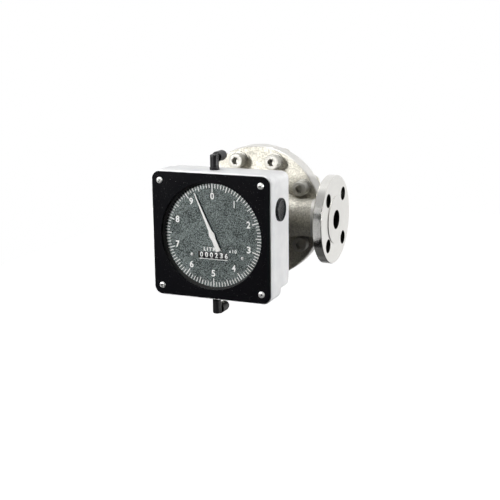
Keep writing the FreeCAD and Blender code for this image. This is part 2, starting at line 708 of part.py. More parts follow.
def register_adapter():
    """Hollow neck casting: base flange, tube and top flange, with soft corners."""
    points = [(0, DRUM_FRONT_Y), (ADAPTER_BASE_R, DRUM_FRONT_Y),
              (ADAPTER_BASE_R, ADAPTER_BASE_Y + ADAPTER_EDGE),
              (ADAPTER_BASE_R - ADAPTER_EDGE, ADAPTER_BASE_Y),
              (ADAPTER_TUBE_R, ADAPTER_BASE_Y, ADAPTER_TUBE_FILLET),
              (ADAPTER_TUBE_R, ADAPTER_TOP_Y + ADAPTER_TOP_SLOPE),
              (ADAPTER_TOP_R, ADAPTER_TOP_Y),
              (ADAPTER_TOP_R, CASE_BACK_Y), (ADAPTER_BORE_R, CASE_BACK_Y),
              (ADAPTER_BORE_R, ADAPTER_BASE_Y), (0, ADAPTER_BASE_Y)]
    adapter = turned(points, V(REGISTER_X, 0, 0), Y_AXIS)
    behind = DRUM_FRONT_Y + BEYOND
    cuts = [rod_y(*COUPLING_AXIS, ADAPTER_BASE_Y - BEYOND, behind, MAGNET_POCKET_R),
            rod_y(*COUPLING_AXIS, DRUM_FRONT_Y - ISOLATING_PLATE_THICK, behind,
                  ISOLATING_PLATE_R + ISOLATING_PLAY),
            rod_y(REGISTER_X, 0, ADAPTER_BASE_Y - BEYOND, DRUM_FRONT_Y - MAIN_SHAFT_SUNK,
                  MAIN_SHAFT_R + SHAFT_GAP)]
    for x, z in adapter_screw_places():
        cuts.append(rod_y(x, z, ADAPTER_BASE_Y - BEYOND, behind,
                          ADAPTER_SCREW_R + ADAPTER_SCREW_PLAY))
    for x, z in case_screw_places():
        cuts.append(rod_y(x, z, CASE_BACK_Y - BEYOND, ADAPTER_TOP_Y + CASE_SCREW_DEPTH,
                          CASE_SCREW_R))
    return adapter.cut(Part.makeCompound(cuts))


def adapter_screws():
    """Four M8 socket head screws through the adapter's base flange."""
    length = ADAPTER_BASE_THICK + ADAPTER_SCREW_DEPTH - SCREW_END_GAP
    return group([cap_screw(x, z, ADAPTER_BASE_Y, ADAPTER_HEAD_R, ADAPTER_HEAD_H,
                            ADAPTER_SCREW_R, length) for x, z in adapter_screw_places()])


def follower_magnet():
    """Magnet ring on the dry side, pulled round by the drive magnet."""
    return ring_y(*COUPLING_AXIS, FOLLOWER_FRONT_Y, FOLLOWER_BACK_Y, MAGNET_R, SMALL_SHAFT_R)


def follower_shaft():
    """Shaft of the follower magnet with its ten-tooth pinion cut in one piece."""
    shaft = rod_y(*COUPLING_AXIS, BRACKET_BOSS_FRONT_Y, FOLLOWER_BACK_Y, SMALL_SHAFT_R)
    pinion = gear_y(*COUPLING_AXIS, FIRST_WHEEL_Y - PINION_PAST_WHEEL,
                    FIRST_WHEEL_Y + WHEEL_THICK + PINION_PAST_WHEEL,
                    PINION_TEETH, GEAR_MODULE, FIRST_MESH_ANGLE + math.pi, 0)
    return shaft.fuse(pinion)


def first_wheel():
    """Forty-tooth wheel on the transmission shaft."""
    angle = FIRST_MESH_ANGLE + math.pi / FIRST_WHEEL_TEETH
    return gear_y(REGISTER_X, 0, FIRST_WHEEL_Y, FIRST_WHEEL_Y + WHEEL_THICK,
                  FIRST_WHEEL_TEETH, GEAR_MODULE, angle, MAIN_SHAFT_R)


def gear_bracket():
    """Bearing disc inside the adapter on three legs, bossed round both shafts."""
    disc = rod_y(REGISTER_X, 0, BRACKET_FRONT_Y, BRACKET_BACK_Y, BRACKET_R)
    parts = [disc, rod_y(*COUPLING_AXIS, BRACKET_BOSS_FRONT_Y, BRACKET_BACK_Y, SMALL_BOSS_R),
             rod_y(REGISTER_X, 0, BRACKET_BOSS_FRONT_Y, BRACKET_BACK_Y, MAIN_BOSS_R)]
    for turn in BRACKET_LEG_TURNS:
        a = FIRST_MESH_ANGLE + math.radians(turn)
        parts.append(rod_y(REGISTER_X + BRACKET_LEG_PCD_R * math.cos(a),
                           BRACKET_LEG_PCD_R * math.sin(a),
                           BRACKET_BACK_Y - BEYOND, ADAPTER_BASE_Y, BRACKET_LEG_R))
    bracket = fused(parts)
    front = BRACKET_BOSS_FRONT_Y - BEYOND
    back = BRACKET_BACK_Y + BEYOND
    main_hole = rod_y(REGISTER_X, 0, front, back, MAIN_SHAFT_R + SHAFT_GAP)
    small_hole = rod_y(*COUPLING_AXIS, front, back, SMALL_SHAFT_R + SHAFT_GAP)
    return bracket.cut(main_hole).cut(small_hole)


# ---- register gears --------------------------------------------------------------

REAR_PLATE_Y = -104.0
MOVEMENT_PLATE_THICK = 2.0
FRONT_PLATE_Y = -124.0
SECOND_PINION_Y = -112.0
SECOND_WHEEL_Y = -111.0
THIRD_PINION_Y = -118.5
THIRD_WHEEL_Y = -117.5
PINION_WIDTH = 5.0
SECOND_STAGE_CENTRES = GEAR_MODULE * (PINION_TEETH + SECOND_WHEEL_TEETH) / 2
IDLER = (REGISTER_X, SECOND_STAGE_CENTRES)
POINTER_SHAFT_R = 2.0
SHAFT_END_GAP = 1.0


def transmission_shaft():
    """Shaft through the neck into the register, its front end cut as a pinion."""
    back = DRUM_FRONT_Y - MAIN_SHAFT_SUNK - MAIN_SHAFT_END_GAP
    shaft = rod_y(REGISTER_X, 0, SECOND_PINION_Y, back, MAIN_SHAFT_R)
    pinion = gear_y(REGISTER_X, 0, SECOND_PINION_Y, SECOND_PINION_Y + PINION_WIDTH,
                    PINION_TEETH, GEAR_MODULE, math.pi / 2, 0)
    return shaft.fuse(pinion)


def second_wheel():
    """Fifty-tooth wheel on the idler shaft, driven by the second pinion."""
    angle = -math.pi / 2 + math.pi / SECOND_WHEEL_TEETH
    return gear_y(*IDLER, SECOND_WHEEL_Y, SECOND_WHEEL_Y + WHEEL_THICK,
                  SECOND_WHEEL_TEETH, GEAR_MODULE, angle, SMALL_SHAFT_R)


def idler_shaft():
    """Idler shaft with its ten-tooth pinion cut in one piece."""
    shaft = rod_y(*IDLER, FRONT_PLATE_Y - MOVEMENT_PLATE_THICK, REAR_PLATE_Y, SMALL_SHAFT_R)
    pinion = gear_y(*IDLER, THIRD_PINION_Y, THIRD_PINION_Y + PINION_WIDTH,
                    PINION_TEETH, GEAR_MODULE, -math.pi / 2, 0)
    return shaft.fuse(pinion)


def third_wheel():
    """Fifty-tooth wheel on the pointer shaft."""
    angle = math.pi / 2 + math.pi / SECOND_WHEEL_TEETH
    return gear_y(REGISTER_X, 0, THIRD_WHEEL_Y, THIRD_WHEEL_Y + WHEEL_THICK,
                  SECOND_WHEEL_TEETH, GEAR_MODULE, angle, POINTER_SHAFT_R)


MOVEMENT_HALF = 46.0
MOVEMENT_CORNER_R = 4.0
PILLAR_PLACE = 40.0
PILLAR_R = 3.0


def movement_plate(front_y, hole_places):
    """Square brass plate of the movement with its bearing and pillar holes."""
    plate = rounded_slab(REGISTER_X - MOVEMENT_HALF, REGISTER_X + MOVEMENT_HALF,
                         -MOVEMENT_HALF, MOVEMENT_HALF, MOVEMENT_CORNER_R, front_y,
                         front_y + MOVEMENT_PLATE_THICK)
    holes = [rod_y(x, z, front_y - BEYOND, front_y + MOVEMENT_PLATE_THICK + BEYOND, r)
             for x, z, r in hole_places]
    return plate.cut(Part.makeCompound(holes))


def movement_rear_plate():
    """Rear plate: bearings of the transmission shaft and the idler."""
    holes = [(REGISTER_X, 0, MAIN_SHAFT_R + SHAFT_GAP), (*IDLER, SMALL_SHAFT_R + SHAFT_GAP)]
    return movement_plate(REAR_PLATE_Y - MOVEMENT_PLATE_THICK, holes)


def movement_front_plate():
    """Front plate with its two riveted dial posts; it carries idler and pointer shaft."""
    holes = [(REGISTER_X, 0, POINTER_SHAFT_R + SHAFT_GAP), (*IDLER, SMALL_SHAFT_R + SHAFT_GAP)]
    plate = movement_plate(FRONT_PLATE_Y - MOVEMENT_PLATE_THICK, holes)
    return fused([plate] + dial_posts())


def movement_pillars():
    """Four pillars that stand on the case's back and space the two plates."""
    pillars = []
    inner_back = CASE_BACK_Y - CASE_WALL
    for sx in (-1, 1):
        for sz in (-1, 1):
            x = REGISTER_X + sx * PILLAR_PLACE
            z = sz * PILLAR_PLACE
            pillars.append(rod_y(x, z, REAR_PLATE_Y, inner_back, PILLAR_R))
            pillars.append(rod_y(x, z, FRONT_PLATE_Y, REAR_PLATE_Y - MOVEMENT_PLATE_THICK,
                                 PILLAR_R))
    return group(pillars)


# ---- pointer and counter drive ----------------------------------------------------

WORM_WHEEL_TEETH = 10
WORM_MODULE = 0.8
WORM_PITCH_R = 3.2
WORM_LEAD = math.pi * WORM_MODULE
WORM_TURNS = 4
WORM_CORE_R = WORM_PITCH_R - 1.1 * WORM_MODULE
WORM_TIP_R = WORM_PITCH_R + 0.7 * WORM_MODULE
WORM_THREAD_ROOT = 0.95
WORM_THREAD_TIP = 0.4
WORM_START_DEG = -90.0
WORM_WHEEL_START = math.pi / 2 + math.pi / WORM_WHEEL_TEETH
DRIVE_Z = -(WORM_PITCH_R + WORM_MODULE * WORM_WHEEL_TEETH / 2)
COUNTER_GEAR_TEETH = 24
COUNTER_GEAR_MODULE = (DRIVE_Z - COUNTER_Z) / COUNTER_GEAR_TEETH
DRIVE_SHAFT_R = 1.5
AXLE_R = 1.5
WHEEL_HUB_R = 3.0
COUNTER_HALF = NUMBER_WHEELS * NUMBER_WHEEL_PITCH / 2
CHEEK_THICK = 1.5
SHEET_THICK = 1.0
CHEEK_X = COUNTER_HALF + 0.8
GEAR_PAIR_X = CHEEK_X + CHEEK_THICK + 1.0
GEAR_PAIR_WIDTH = 3.0
WORM_WHEEL_WIDTH = 2.4
WHEEL_SIDE_GAP = 0.15
THREAD_SUNK = 0.25
AXLE_PAST_GEAR = 0.5
FRAME_BELOW = 9.0
FRAME_ABOVE = 4.0
FRAME_FRONT = 6.0
BUSH_OUTER_R = 4.0
POINTER_BUSH_LENGTH = 5.0
FRAME_BUSH_HOLE_R = 4.4


def worm_thread():
    """Single-start thread swept along a helix round the pointer shaft."""
    length = WORM_LEAD * WORM_TURNS
    helix = Part.makeHelix(WORM_LEAD, length, WORM_CORE_R)
    inner = WORM_CORE_R - THREAD_SUNK
    section = Part.makePolygon([V(inner, 0, -WORM_THREAD_ROOT / 2),
                                V(WORM_TIP_R, 0, -WORM_THREAD_TIP / 2),
                                V(WORM_TIP_R, 0, WORM_THREAD_TIP / 2),
                                V(inner, 0, WORM_THREAD_ROOT / 2),
                                V(inner, 0, -WORM_THREAD_ROOT / 2)])
    thread = Part.Wire(helix.Edges).makePipeShell([section], True, True)
    thread.translate(V(0, 0, -length / 2))
    thread.rotate(V(0, 0, 0), Z_AXIS, WORM_START_DEG)
    thread.rotate(V(0, 0, 0), X_AXIS, 90)
    thread.translate(V(REGISTER_X, COUNTER_Y, 0))
    return thread


def pointer_shaft():
    """Pointer shaft with the worm that drives the counter."""
    length = WORM_LEAD * (WORM_TURNS + 1)
    back = SECOND_PINION_Y - SHAFT_END_GAP
    shaft = rod_y(REGISTER_X, 0, POINTER_Y + POINTER_SKIN, back, POINTER_SHAFT_R)
    core = rod_y(REGISTER_X, 0, COUNTER_Y - length / 2, COUNTER_Y + length / 2, WORM_CORE_R)
    return shaft.fuse(core).fuse(worm_thread())


def pointer_bush():
    """Long brass bush that steadies the pointer shaft on the front plate."""
    front = FRONT_PLATE_Y - MOVEMENT_PLATE_THICK
    return ring_y(REGISTER_X, 0, front - POINTER_BUSH_LENGTH, front, BUSH_OUTER_R,
                  POINTER_SHAFT_R + SHAFT_GAP)


POINTER_HALF_OUTLINE = ((0.5, POINTER_TIP), (2.1, 8.0), (4.2, 1.5), (3.0, -5.0),
                        (3.4, -POINTER_TAIL))
POINTER_BOSS_R = 3.2
POINTER_BOSS_H = 1.6


def pointer():
    """Flat pointer: slender blade, diamond hub and blunt tail, with a hub boss."""
    right = [V(x, 0, z) for x, z in POINTER_HALF_OUTLINE]
    left = [V(-x, 0, z) for x, z in reversed(POINTER_HALF_OUTLINE)]
    blade = polygon_face(right + left).extrude(V(0, POINTER_THICK, 0))
    back = POINTER_THICK + POINTER_BOSS_H
    boss = rod_y(0, 0, POINTER_THICK, back, POINTER_BOSS_R)
    hole = rod_y(0, 0, POINTER_SKIN, back + BEYOND, POINTER_SHAFT_R)
    shape = blade.fuse(boss).cut(hole)
    shape.rotate(V(0, 0, 0), Y_AXIS, -POINTER_ANGLE)
    shape.translate(V(REGISTER_X, POINTER_Y, 0))
    return shape


def counter_drive_shaft():
    """Cross shaft under the pointer shaft: worm wheel inside, pinion gear outside."""
    ends = (REGISTER_X - CHEEK_X - CHEEK_THICK, REGISTER_X + GEAR_PAIR_X + GEAR_PAIR_WIDTH)
    shaft = rod_x(COUNTER_Y, DRIVE_Z, ends[0], ends[1], DRIVE_SHAFT_R)
    wheel = gear_x(COUNTER_Y, DRIVE_Z, REGISTER_X - WORM_WHEEL_WIDTH / 2,
                   REGISTER_X + WORM_WHEEL_WIDTH / 2, WORM_WHEEL_TEETH, WORM_MODULE,
                   WORM_WHEEL_START, 0)
    return shaft.fuse(wheel)


def counter_gear(z, tooth_angle, bore_r):
    """Gear of the equal pair beside the counter frame."""
    x0 = REGISTER_X + GEAR_PAIR_X
    return gear_x(COUNTER_Y, z, x0, x0 + GEAR_PAIR_WIDTH, COUNTER_GEAR_TEETH,
                  COUNTER_GEAR_MODULE, tooth_angle, bore_r)


def counter_drive_gear():
    """Upper gear of the pair, a tooth pointing straight down."""
    return counter_gear(DRIVE_Z, -math.pi / 2, DRIVE_SHAFT_R)


def units_gear():
    """Lower gear of the pair on the sleeve of the first number wheel."""
    gear = counter_gear(COUNTER_Z, math.pi / 2 + math.pi / COUNTER_GEAR_TEETH,
                        AXLE_R + SHAFT_GAP)
    x0 = REGISTER_X + COUNTER_HALF - WHEEL_SIDE_GAP
    x1 = REGISTER_X + GEAR_PAIR_X
    sleeve = rod_x(COUNTER_Y, COUNTER_Z, x0, x1, WHEEL_HUB_R)
    return gear.fuse(sleeve.cut(rod_x(COUNTER_Y, COUNTER_Z, x0, x1, AXLE_R + SHAFT_GAP)))


def number_wheel(index):
    """Number wheel; wheel 1 shows the units and stands furthest right."""
    x1 = REGISTER_X + COUNTER_HALF - (index - 1) * NUMBER_WHEEL_PITCH - WHEEL_SIDE_GAP
    x0 = x1 - NUMBER_WHEEL_WIDTH
    wheel = rod_x(COUNTER_Y, COUNTER_Z, x0, x1, NUMBER_WHEEL_R)
    return wheel.cut(rod_x(COUNTER_Y, COUNTER_Z, x0, x1, AXLE_R + SHAFT_GAP))


def counter_axle():
    """Fixed axle of the number wheels."""
    return rod_x(COUNTER_Y, COUNTER_Z, REGISTER_X - CHEEK_X - CHEEK_THICK,
                 REGISTER_X + GEAR_PAIR_X + GEAR_PAIR_WIDTH + AXLE_PAST_GEAR, AXLE_R)


def counter_frame():
    """Bent sheet frame: back strip, two cheeks and the staked wheel axle."""
    back = FRONT_PLATE_Y - MOVEMENT_PLATE_THICK
    z0 = COUNTER_Z - FRAME_BELOW
    height = DRIVE_Z + FRAME_ABOVE - z0
    reach = back - (COUNTER_Y - FRAME_FRONT)
    width = 2 * (CHEEK_X + CHEEK_THICK)
    x0 = REGISTER_X - CHEEK_X - CHEEK_THICK
    frame = Part.makeBox(width, reach, height, V(x0, back - reach, z0))
    inside = Part.makeBox(2 * CHEEK_X, reach, height + 2 * BEYOND,
                          V(REGISTER_X - CHEEK_X, back - reach - SHEET_THICK, z0 - BEYOND))
    frame = frame.cut(inside)
    x1 = x0 + width + BEYOND
    holes = [rod_x(COUNTER_Y, DRIVE_Z, x0 - BEYOND, x1, DRIVE_SHAFT_R + SHAFT_GAP),
             rod_x(COUNTER_Y, COUNTER_Z, x0 - BEYOND, REGISTER_X, AXLE_R),
             rod_x(COUNTER_Y, COUNTER_Z, REGISTER_X, x1, WHEEL_HUB_R + SHAFT_GAP),
             rod_y(REGISTER_X, 0, back - reach, back + BEYOND, FRAME_BUSH_HOLE_R)]
    return fused([frame.cut(Part.makeCompound(holes)), counter_axle()])


# ---- register case, bezel, window and dial ------------------------------------------

FRAME_FRONT_Y = PLATE_FRONT_Y + PLATE_THICK
GASKET_FRONT_Y = FRAME_FRONT_Y + FRAME_THICK
CASE_FRONT_Y = GASKET_FRONT_Y + CASE_GASKET_THICK
CASE_HALF = CASE_SIZE / 2
INNER_HALF = CASE_HALF - CASE_WALL
BEZEL_SCREW_R = 2.0
BEZEL_BOSS_R = 10.5
BEZEL_BOSS_BACK_Y = -140.0
CASE_MOUTH_R = 30.0
BEZEL_SCREW_PLAY = 0.2
FRAME_CHAMFER = 0.5
GLASS_PLAY = 0.1
GASKET_SET_IN = 0.6
DIAL_EDGE_GAP = 1.0
DIAL_RING_SET_IN = 0.3
BEZEL_TAP_SHORT = 4.0
CASE_SCREW_PLAY = 0.2
CASE_HEAD_R = 4.25
CASE_HEAD_H = 5.0
REAR_CORNER_R = CASE_CORNER_R - 2.0
INNER_REAR_CORNER_R = REAR_CORNER_R - CASE_WALL
FITTING_HOLE_R = 4.5
PLUG_HOLE_R = 12.0


def bezel_screw_places():
    """Axes of the four bezel screws at the corners of the plate."""
    return [(REGISTER_X + sx * PLATE_SCREW_X, sz * PLATE_SCREW_Z)
            for sx in (-1, 1) for sz in (-1, 1)]


def case_outside():
    """Outer form: square front part, lower rear part, rounded back edges."""
    front = case_slab(CASE_SIZE, CASE_CORNER_R, CASE_FRONT_Y, CASE_STEP_Y)
    rear = rounded_slab(REGISTER_X - CASE_HALF, REGISTER_X + CASE_HALF,
                        REAR_BOTTOM_Z, REAR_TOP_Z, REAR_CORNER_R,
                        CASE_STEP_Y - CASE_WALL, CASE_BACK_Y)
    back_edges = [e for e in rear.Edges if e.BoundBox.YMin > CASE_BACK_Y - EDGE_TOLERANCE]
    rear = rear.makeFillet(REAR_EDGE_R, back_edges)
    return front.fuse(rear)


def case_inside():
    """Hollow of the case, stepped like its outside."""
    inner_step = CASE_STEP_Y - CASE_WALL
    front = case_slab(2 * INNER_HALF, CASE_CORNER_R - CASE_WALL, CASE_FRONT_Y - BEYOND,
                      inner_step)
    rear = rounded_slab(REGISTER_X - INNER_HALF, REGISTER_X + INNER_HALF,
                        REAR_BOTTOM_Z + CASE_WALL, REAR_TOP_Z - CASE_WALL,
                        INNER_REAR_CORNER_R, inner_step - BEYOND, CASE_BACK_Y - CASE_WALL)
    return front.fuse(rear)


def register_case():
    """Die-cast case with corner bosses and its openings."""
    case = case_outside().cut(case_inside())
    bosses = [rod_y(x, z, CASE_FRONT_Y, BEZEL_BOSS_BACK_Y, BEZEL_BOSS_R)
              for x, z in bezel_screw_places()]
    bosses = [b.common(case_outside()) for b in bosses]
    case = fused([case] + bosses)
    inner_back = CASE_BACK_Y - CASE_WALL
    cuts = [rod_y(REGISTER_X, 0, inner_back - BEYOND, CASE_BACK_Y + BEYOND, CASE_MOUTH_R)]
    for x, z in bezel_screw_places():
        cuts.append(rod_y(x, z, CASE_FRONT_Y - BEYOND, BEZEL_BOSS_BACK_Y - BEZEL_TAP_SHORT,
                          BEZEL_SCREW_R))
    for x, z in case_screw_places():
        cuts.append(rod_y(x, z, inner_back - BEYOND, CASE_BACK_Y + BEYOND,
                          CASE_SCREW_R + CASE_SCREW_PLAY))
    cuts.append(Part.makeCylinder(FITTING_HOLE_R, 2 * CASE_SIZE,
                                  V(FITTING_X, FITTING_Y, -CASE_SIZE), Z_AXIS))
    cuts.append(rod_x(PLUG_Y, PLUG_Z, REGISTER_X + INNER_HALF - BEYOND,
                      REGISTER_X + CASE_HALF + BEYOND, PLUG_HOLE_R))
    return case.cut(Part.makeCompound(cuts))


def pierced(slab, opening_r, y0, y1):
    """Round opening and four screw holes through a bezel layer."""
    front = y0 - BEYOND
    back = y1 + BEYOND
    cuts = [rod_y(REGISTER_X, 0, front, back, opening_r)]
    cuts += [rod_y(x, z, front, back, BEZEL_SCREW_R + BEZEL_SCREW_PLAY)
             for x, z in bezel_screw_places()]
    return slab.cut(Part.makeCompound(cuts))


def bezel_plate():
    """Black front plate with the round dial opening."""
    slab = case_slab(PLATE_SIZE, PLATE_CORNER_R, PLATE_FRONT_Y, FRAME_FRONT_Y)
    return pierced(slab, OPENING_R, PLATE_FRONT_Y, FRAME_FRONT_Y)


def bezel_frame():
    """Cast frame behind the plate, which holds the glass."""
    slab = case_slab(CASE_SIZE, CASE_CORNER_R, FRAME_FRONT_Y, GASKET_FRONT_Y)
    rim = [e for e in slab.Edges if e.BoundBox.YMax < FRAME_FRONT_Y + EDGE_TOLERANCE]
    slab = slab.makeChamfer(FRAME_CHAMFER, rim)
    return pierced(slab, GLASS_R + GLASS_PLAY, FRAME_FRONT_Y, GASKET_FRONT_Y)


def case_gasket():
    """Thin grey gasket between frame and case, set in from the edge."""
    slab = case_slab(CASE_SIZE - 2 * GASKET_SET_IN, CASE_CORNER_R - GASKET_SET_IN,
                     GASKET_FRONT_Y, CASE_FRONT_Y)
    return pierced(slab, DIAL_R + DIAL_EDGE_GAP, GASKET_FRONT_Y, CASE_FRONT_Y)


def window_glass():
    """Flat round window."""
    return rod_y(REGISTER_X, 0, FRAME_FRONT_Y, GASKET_FRONT_Y, GLASS_R)


def dial_ring():
    """Black funnel ring between the glass and the dial."""
    points = [(DIAL_R, GASKET_FRONT_Y), (DIAL_R, DIAL_FRONT_Y),
              (DIAL_RING_INNER_R, DIAL_FRONT_Y),
              (OPENING_R - DIAL_RING_SET_IN, GASKET_FRONT_Y)]
    return turned(points, V(REGISTER_X, 0, 0), Y_AXIS)


PAN_R = 4.4
PAN_H = 2.4
PAN_ROUND = 2.2
BEZEL_SCREW_LENGTH = 17.0
CROSS_LENGTH = 5.0
CROSS_WIDTH = 1.1
CROSS_DEPTH = 1.4


def pan_screw(place, head_r, head_h, head_round, shank_r, length):
    """Screw along +Y with a round-edged head, seated at a place."""
    points = [(0, -head_h), (head_r, -head_h, head_round), (head_r, 0), (shank_r, 0),
              (shank_r, length), (0, length)]
    return turned(points, place, Y_AXIS)


def bezel_screw(x, z):
    """Pan head screw with a cross recess."""
    screw = pan_screw(V(x, PLATE_FRONT_Y, z), PAN_R, PAN_H, PAN_ROUND, BEZEL_SCREW_R,
                      BEZEL_SCREW_LENGTH)
    front = PLATE_FRONT_Y - PAN_H - BEYOND
    depth = BEYOND + CROSS_DEPTH
    slot = Part.makeBox(CROSS_LENGTH, depth, CROSS_WIDTH,
                        V(x - CROSS_LENGTH / 2, front, z - CROSS_WIDTH / 2))
    cross = Part.makeBox(CROSS_WIDTH, depth, CROSS_LENGTH,
                         V(x - CROSS_WIDTH / 2, front, z - CROSS_LENGTH / 2))
    return screw.cut(slot.fuse(cross))


def bezel_screws():
    """Four screws at the corners of the plate."""
    return group([bezel_screw(x, z) for x, z in bezel_screw_places()])


def case_screws():
    """Four socket head screws from inside the case into the adapter."""
    length = CASE_WALL + ADAPTER_TOP_THICK + CASE_SCREW_DEPTH - BEYOND
    return group([cap_screw(x, z, CASE_BACK_Y - CASE_WALL, CASE_HEAD_R, CASE_HEAD_H,
                            CASE_SCREW_R, length) for x, z in case_screw_places()])


DIAL_POST_R = 2.5
DIAL_SCREW_R = 1.25
DIAL_SCREW_LENGTH = 6.0
DIAL_HEAD_R = 2.2
DIAL_HEAD_H = 1.2
DIAL_HEAD_ROUND = 1.0
DIAL_HOLE_R = 3.0


def dial_plate():
    """Round dial with the counter's window and the pointer shaft's hole."""
    back = DIAL_FRONT_Y + DIAL_THICK
    plate = rod_y(REGISTER_X, 0, DIAL_FRONT_Y, back, DIAL_R)
    front = DIAL_FRONT_Y - BEYOND
    window = Part.makeBox(WINDOW_W, DIAL_THICK + 2 * BEYOND, WINDOW_H,
                          V(REGISTER_X - WINDOW_W / 2, front, COUNTER_Z - WINDOW_H / 2))
    cuts = [window, rod_y(REGISTER_X, 0, front, back + BEYOND, DIAL_HOLE_R)]
    for x in DIAL_SCREW_X:
        cuts.append(rod_y(REGISTER_X + x, DIAL_SCREW_Z, front, back + BEYOND, DIAL_SCREW_R))
    return plate.cut(Part.makeCompound(cuts))


def dial_posts():
    """Two posts on the movement's front plate that carry the dial."""
    posts = []
    back = DIAL_FRONT_Y + DIAL_THICK
    for x in DIAL_SCREW_X:
        post = rod_y(REGISTER_X + x, DIAL_SCREW_Z, back,
                     FRONT_PLATE_Y - MOVEMENT_PLATE_THICK, DIAL_POST_R)
        posts.append(post.cut(rod_y(REGISTER_X + x, DIAL_SCREW_Z, back - BEYOND,
                                    back + DIAL_SCREW_LENGTH, DIAL_SCREW_R)))
    return posts


def dial_screws():
    """Two small bright screws that hold the dial."""
    return group([pan_screw(V(REGISTER_X + x, DIAL_FRONT_Y, DIAL_SCREW_Z), DIAL_HEAD_R,
                            DIAL_HEAD_H, DIAL_HEAD_ROUND, DIAL_SCREW_R, DIAL_SCREW_LENGTH)
                  for x in DIAL_SCREW_X])


# ---- side plug and air fittings -----------------------------------------------------

PLUG_STEM_R = 11.9
PLUG_BORE_R = 9.5
PLUG_BEAD_R = 12.6
PLUG_BEAD_X = -5.5
PLUG_STEM_END_X = -8.0
PLUG_STEM_END_R = 11.4
PLUG_RIM_WIDTH = 3.0
PLUG_RIM_ROUND = 1.3
PLUG_DISH_DEPTH = 0.9
PLUG_HEAD_INSIDE = 1.0


def side_plug():
    """Round push-in plug: dished head, hollow stem and snap bead."""
    dish_r = PLUG_R - PLUG_RIM_WIDTH
    dish_x = PLUG_PROUD - PLUG_DISH_DEPTH
    points = [(0, PLUG_HEAD_INSIDE), (PLUG_BORE_R, PLUG_HEAD_INSIDE),
              (PLUG_BORE_R, PLUG_STEM_END_X), (PLUG_STEM_END_R, PLUG_STEM_END_X),
              (PLUG_BEAD_R, PLUG_BEAD_X), (PLUG_STEM_R, -CASE_WALL), (PLUG_STEM_R, 0),
              (PLUG_R, 0), (PLUG_R, PLUG_PROUD, PLUG_RIM_ROUND), (dish_r, PLUG_PROUD),
              (dish_r - PLUG_DISH_DEPTH, dish_x), (0, dish_x)]
    return turned(points, V(REGISTER_X + CASE_HALF, PLUG_Y, PLUG_Z), X_AXIS)


STUD_HEX_R = 6.4
STUD_HEX_H = 4.0
STUD_THREAD_LENGTH = 7.0
JOURNAL_R = 3.5
JOURNAL_H = 7.0
JOURNAL_GAP = 0.06
JOURNAL_END_GAP = 0.5
AIR_WAY_R = 1.8
ELBOW_GAP = 0.3
ARM_R = 4.2
ELBOW_CAP_ROUND = 2.0
TUBE_STOP = 9.0
TUBE_GAP = 0.05
COLLAR_R = 5.6
COLLAR_GAP = 0.08
COLLAR_SEAT_DEPTH = 6.0
COLLAR_LENGTH = 5.8
COLLAR_LIP = 0.7
COLLAR_LIP_THICK = 1.0
COLLAR_TRAVEL = 1.0
COLLAR_REST_GAP = 0.3


def rod_z(z0, z1, r):
    """Round bar along Z on the axis of the air fittings."""
    return Part.makeCylinder(r, z1 - z0, V(FITTING_X, FITTING_Y, z0), Z_AXIS)


def fitting_stud():
    """Threaded stud with a hexagon, hollow for the air."""
    z0 = CASE_HALF
    corners = [V(FITTING_X + cx, FITTING_Y + cy, z0) for cx, cy in on_circle(6, STUD_HEX_R, 30)]
    hexagon = polygon_face(corners).extrude(V(0, 0, STUD_HEX_H))
    thread = rod_z(z0 - STUD_THREAD_LENGTH, z0, FITTING_HOLE_R)
    journal_end = z0 + STUD_HEX_H + JOURNAL_H
    journal = rod_z(z0 + STUD_HEX_H, journal_end, JOURNAL_R)
    way = rod_z(z0 - STUD_THREAD_LENGTH - BEYOND, journal_end + BEYOND, AIR_WAY_R)
    return hexagon.fuse(thread).fuse(journal).cut(way)


def elbow(height):
    """Push-in elbow that swivels on its stud, its socket pointing backwards."""
    base_z = CASE_HALF + STUD_HEX_H + ELBOW_GAP
    axis_z = CASE_HALF + height
    top_z = axis_z + ARM_R
    upright = turned([(0, base_z), (ELBOW_R, base_z), (ELBOW_R, top_z, ELBOW_CAP_ROUND),
                      (0, top_z)], V(FITTING_X, FITTING_Y, 0), Z_AXIS)
    sleeve_end = FITTING_Y + SLEEVE_END
    arm = rod_y(FITTING_X, axis_z, FITTING_Y, FITTING_Y + SLEEVE_START, ARM_R)
    sleeve = rod_y(FITTING_X, axis_z, FITTING_Y + SLEEVE_START, sleeve_end, SLEEVE_R)
    journal_top = CASE_HALF + STUD_HEX_H + JOURNAL_H + JOURNAL_END_GAP
    cuts = [rod_z(base_z - BEYOND, journal_top, JOURNAL_R + JOURNAL_GAP),
            rod_z(base_z, axis_z, AIR_WAY_R),
            rod_y(FITTING_X, axis_z, FITTING_Y - AIR_WAY_R / 2, sleeve_end, AIR_WAY_R),
            rod_y(FITTING_X, axis_z, FITTING_Y + TUBE_STOP, sleeve_end + BEYOND,
                  TUBE_R + TUBE_GAP),
            rod_y(FITTING_X, axis_z, sleeve_end - COLLAR_SEAT_DEPTH, sleeve_end + BEYOND,
                  COLLAR_R + COLLAR_GAP)]
    return upright.fuse(arm).fuse(sleeve).cut(Part.makeCompound(cuts))


def release_collar(height):
    """Push-in collar at the end of the socket, pressed to let the tube go."""
    axis_z = CASE_HALF + height
    lip_y = FITTING_Y + SLEEVE_END + COLLAR_TRAVEL + COLLAR_REST_GAP
    collar = rod_y(FITTING_X, axis_z, lip_y - COLLAR_LENGTH, lip_y, COLLAR_R)
    lip_end = lip_y + COLLAR_LIP_THICK
    collar = collar.fuse(rod_y(FITTING_X, axis_z, lip_y, lip_end, COLLAR_R + COLLAR_LIP))
    return collar.cut(rod_y(FITTING_X, axis_z, lip_y - COLLAR_LENGTH - BEYOND,
                            lip_end + BEYOND, TUBE_R + 2 * TUBE_GAP))


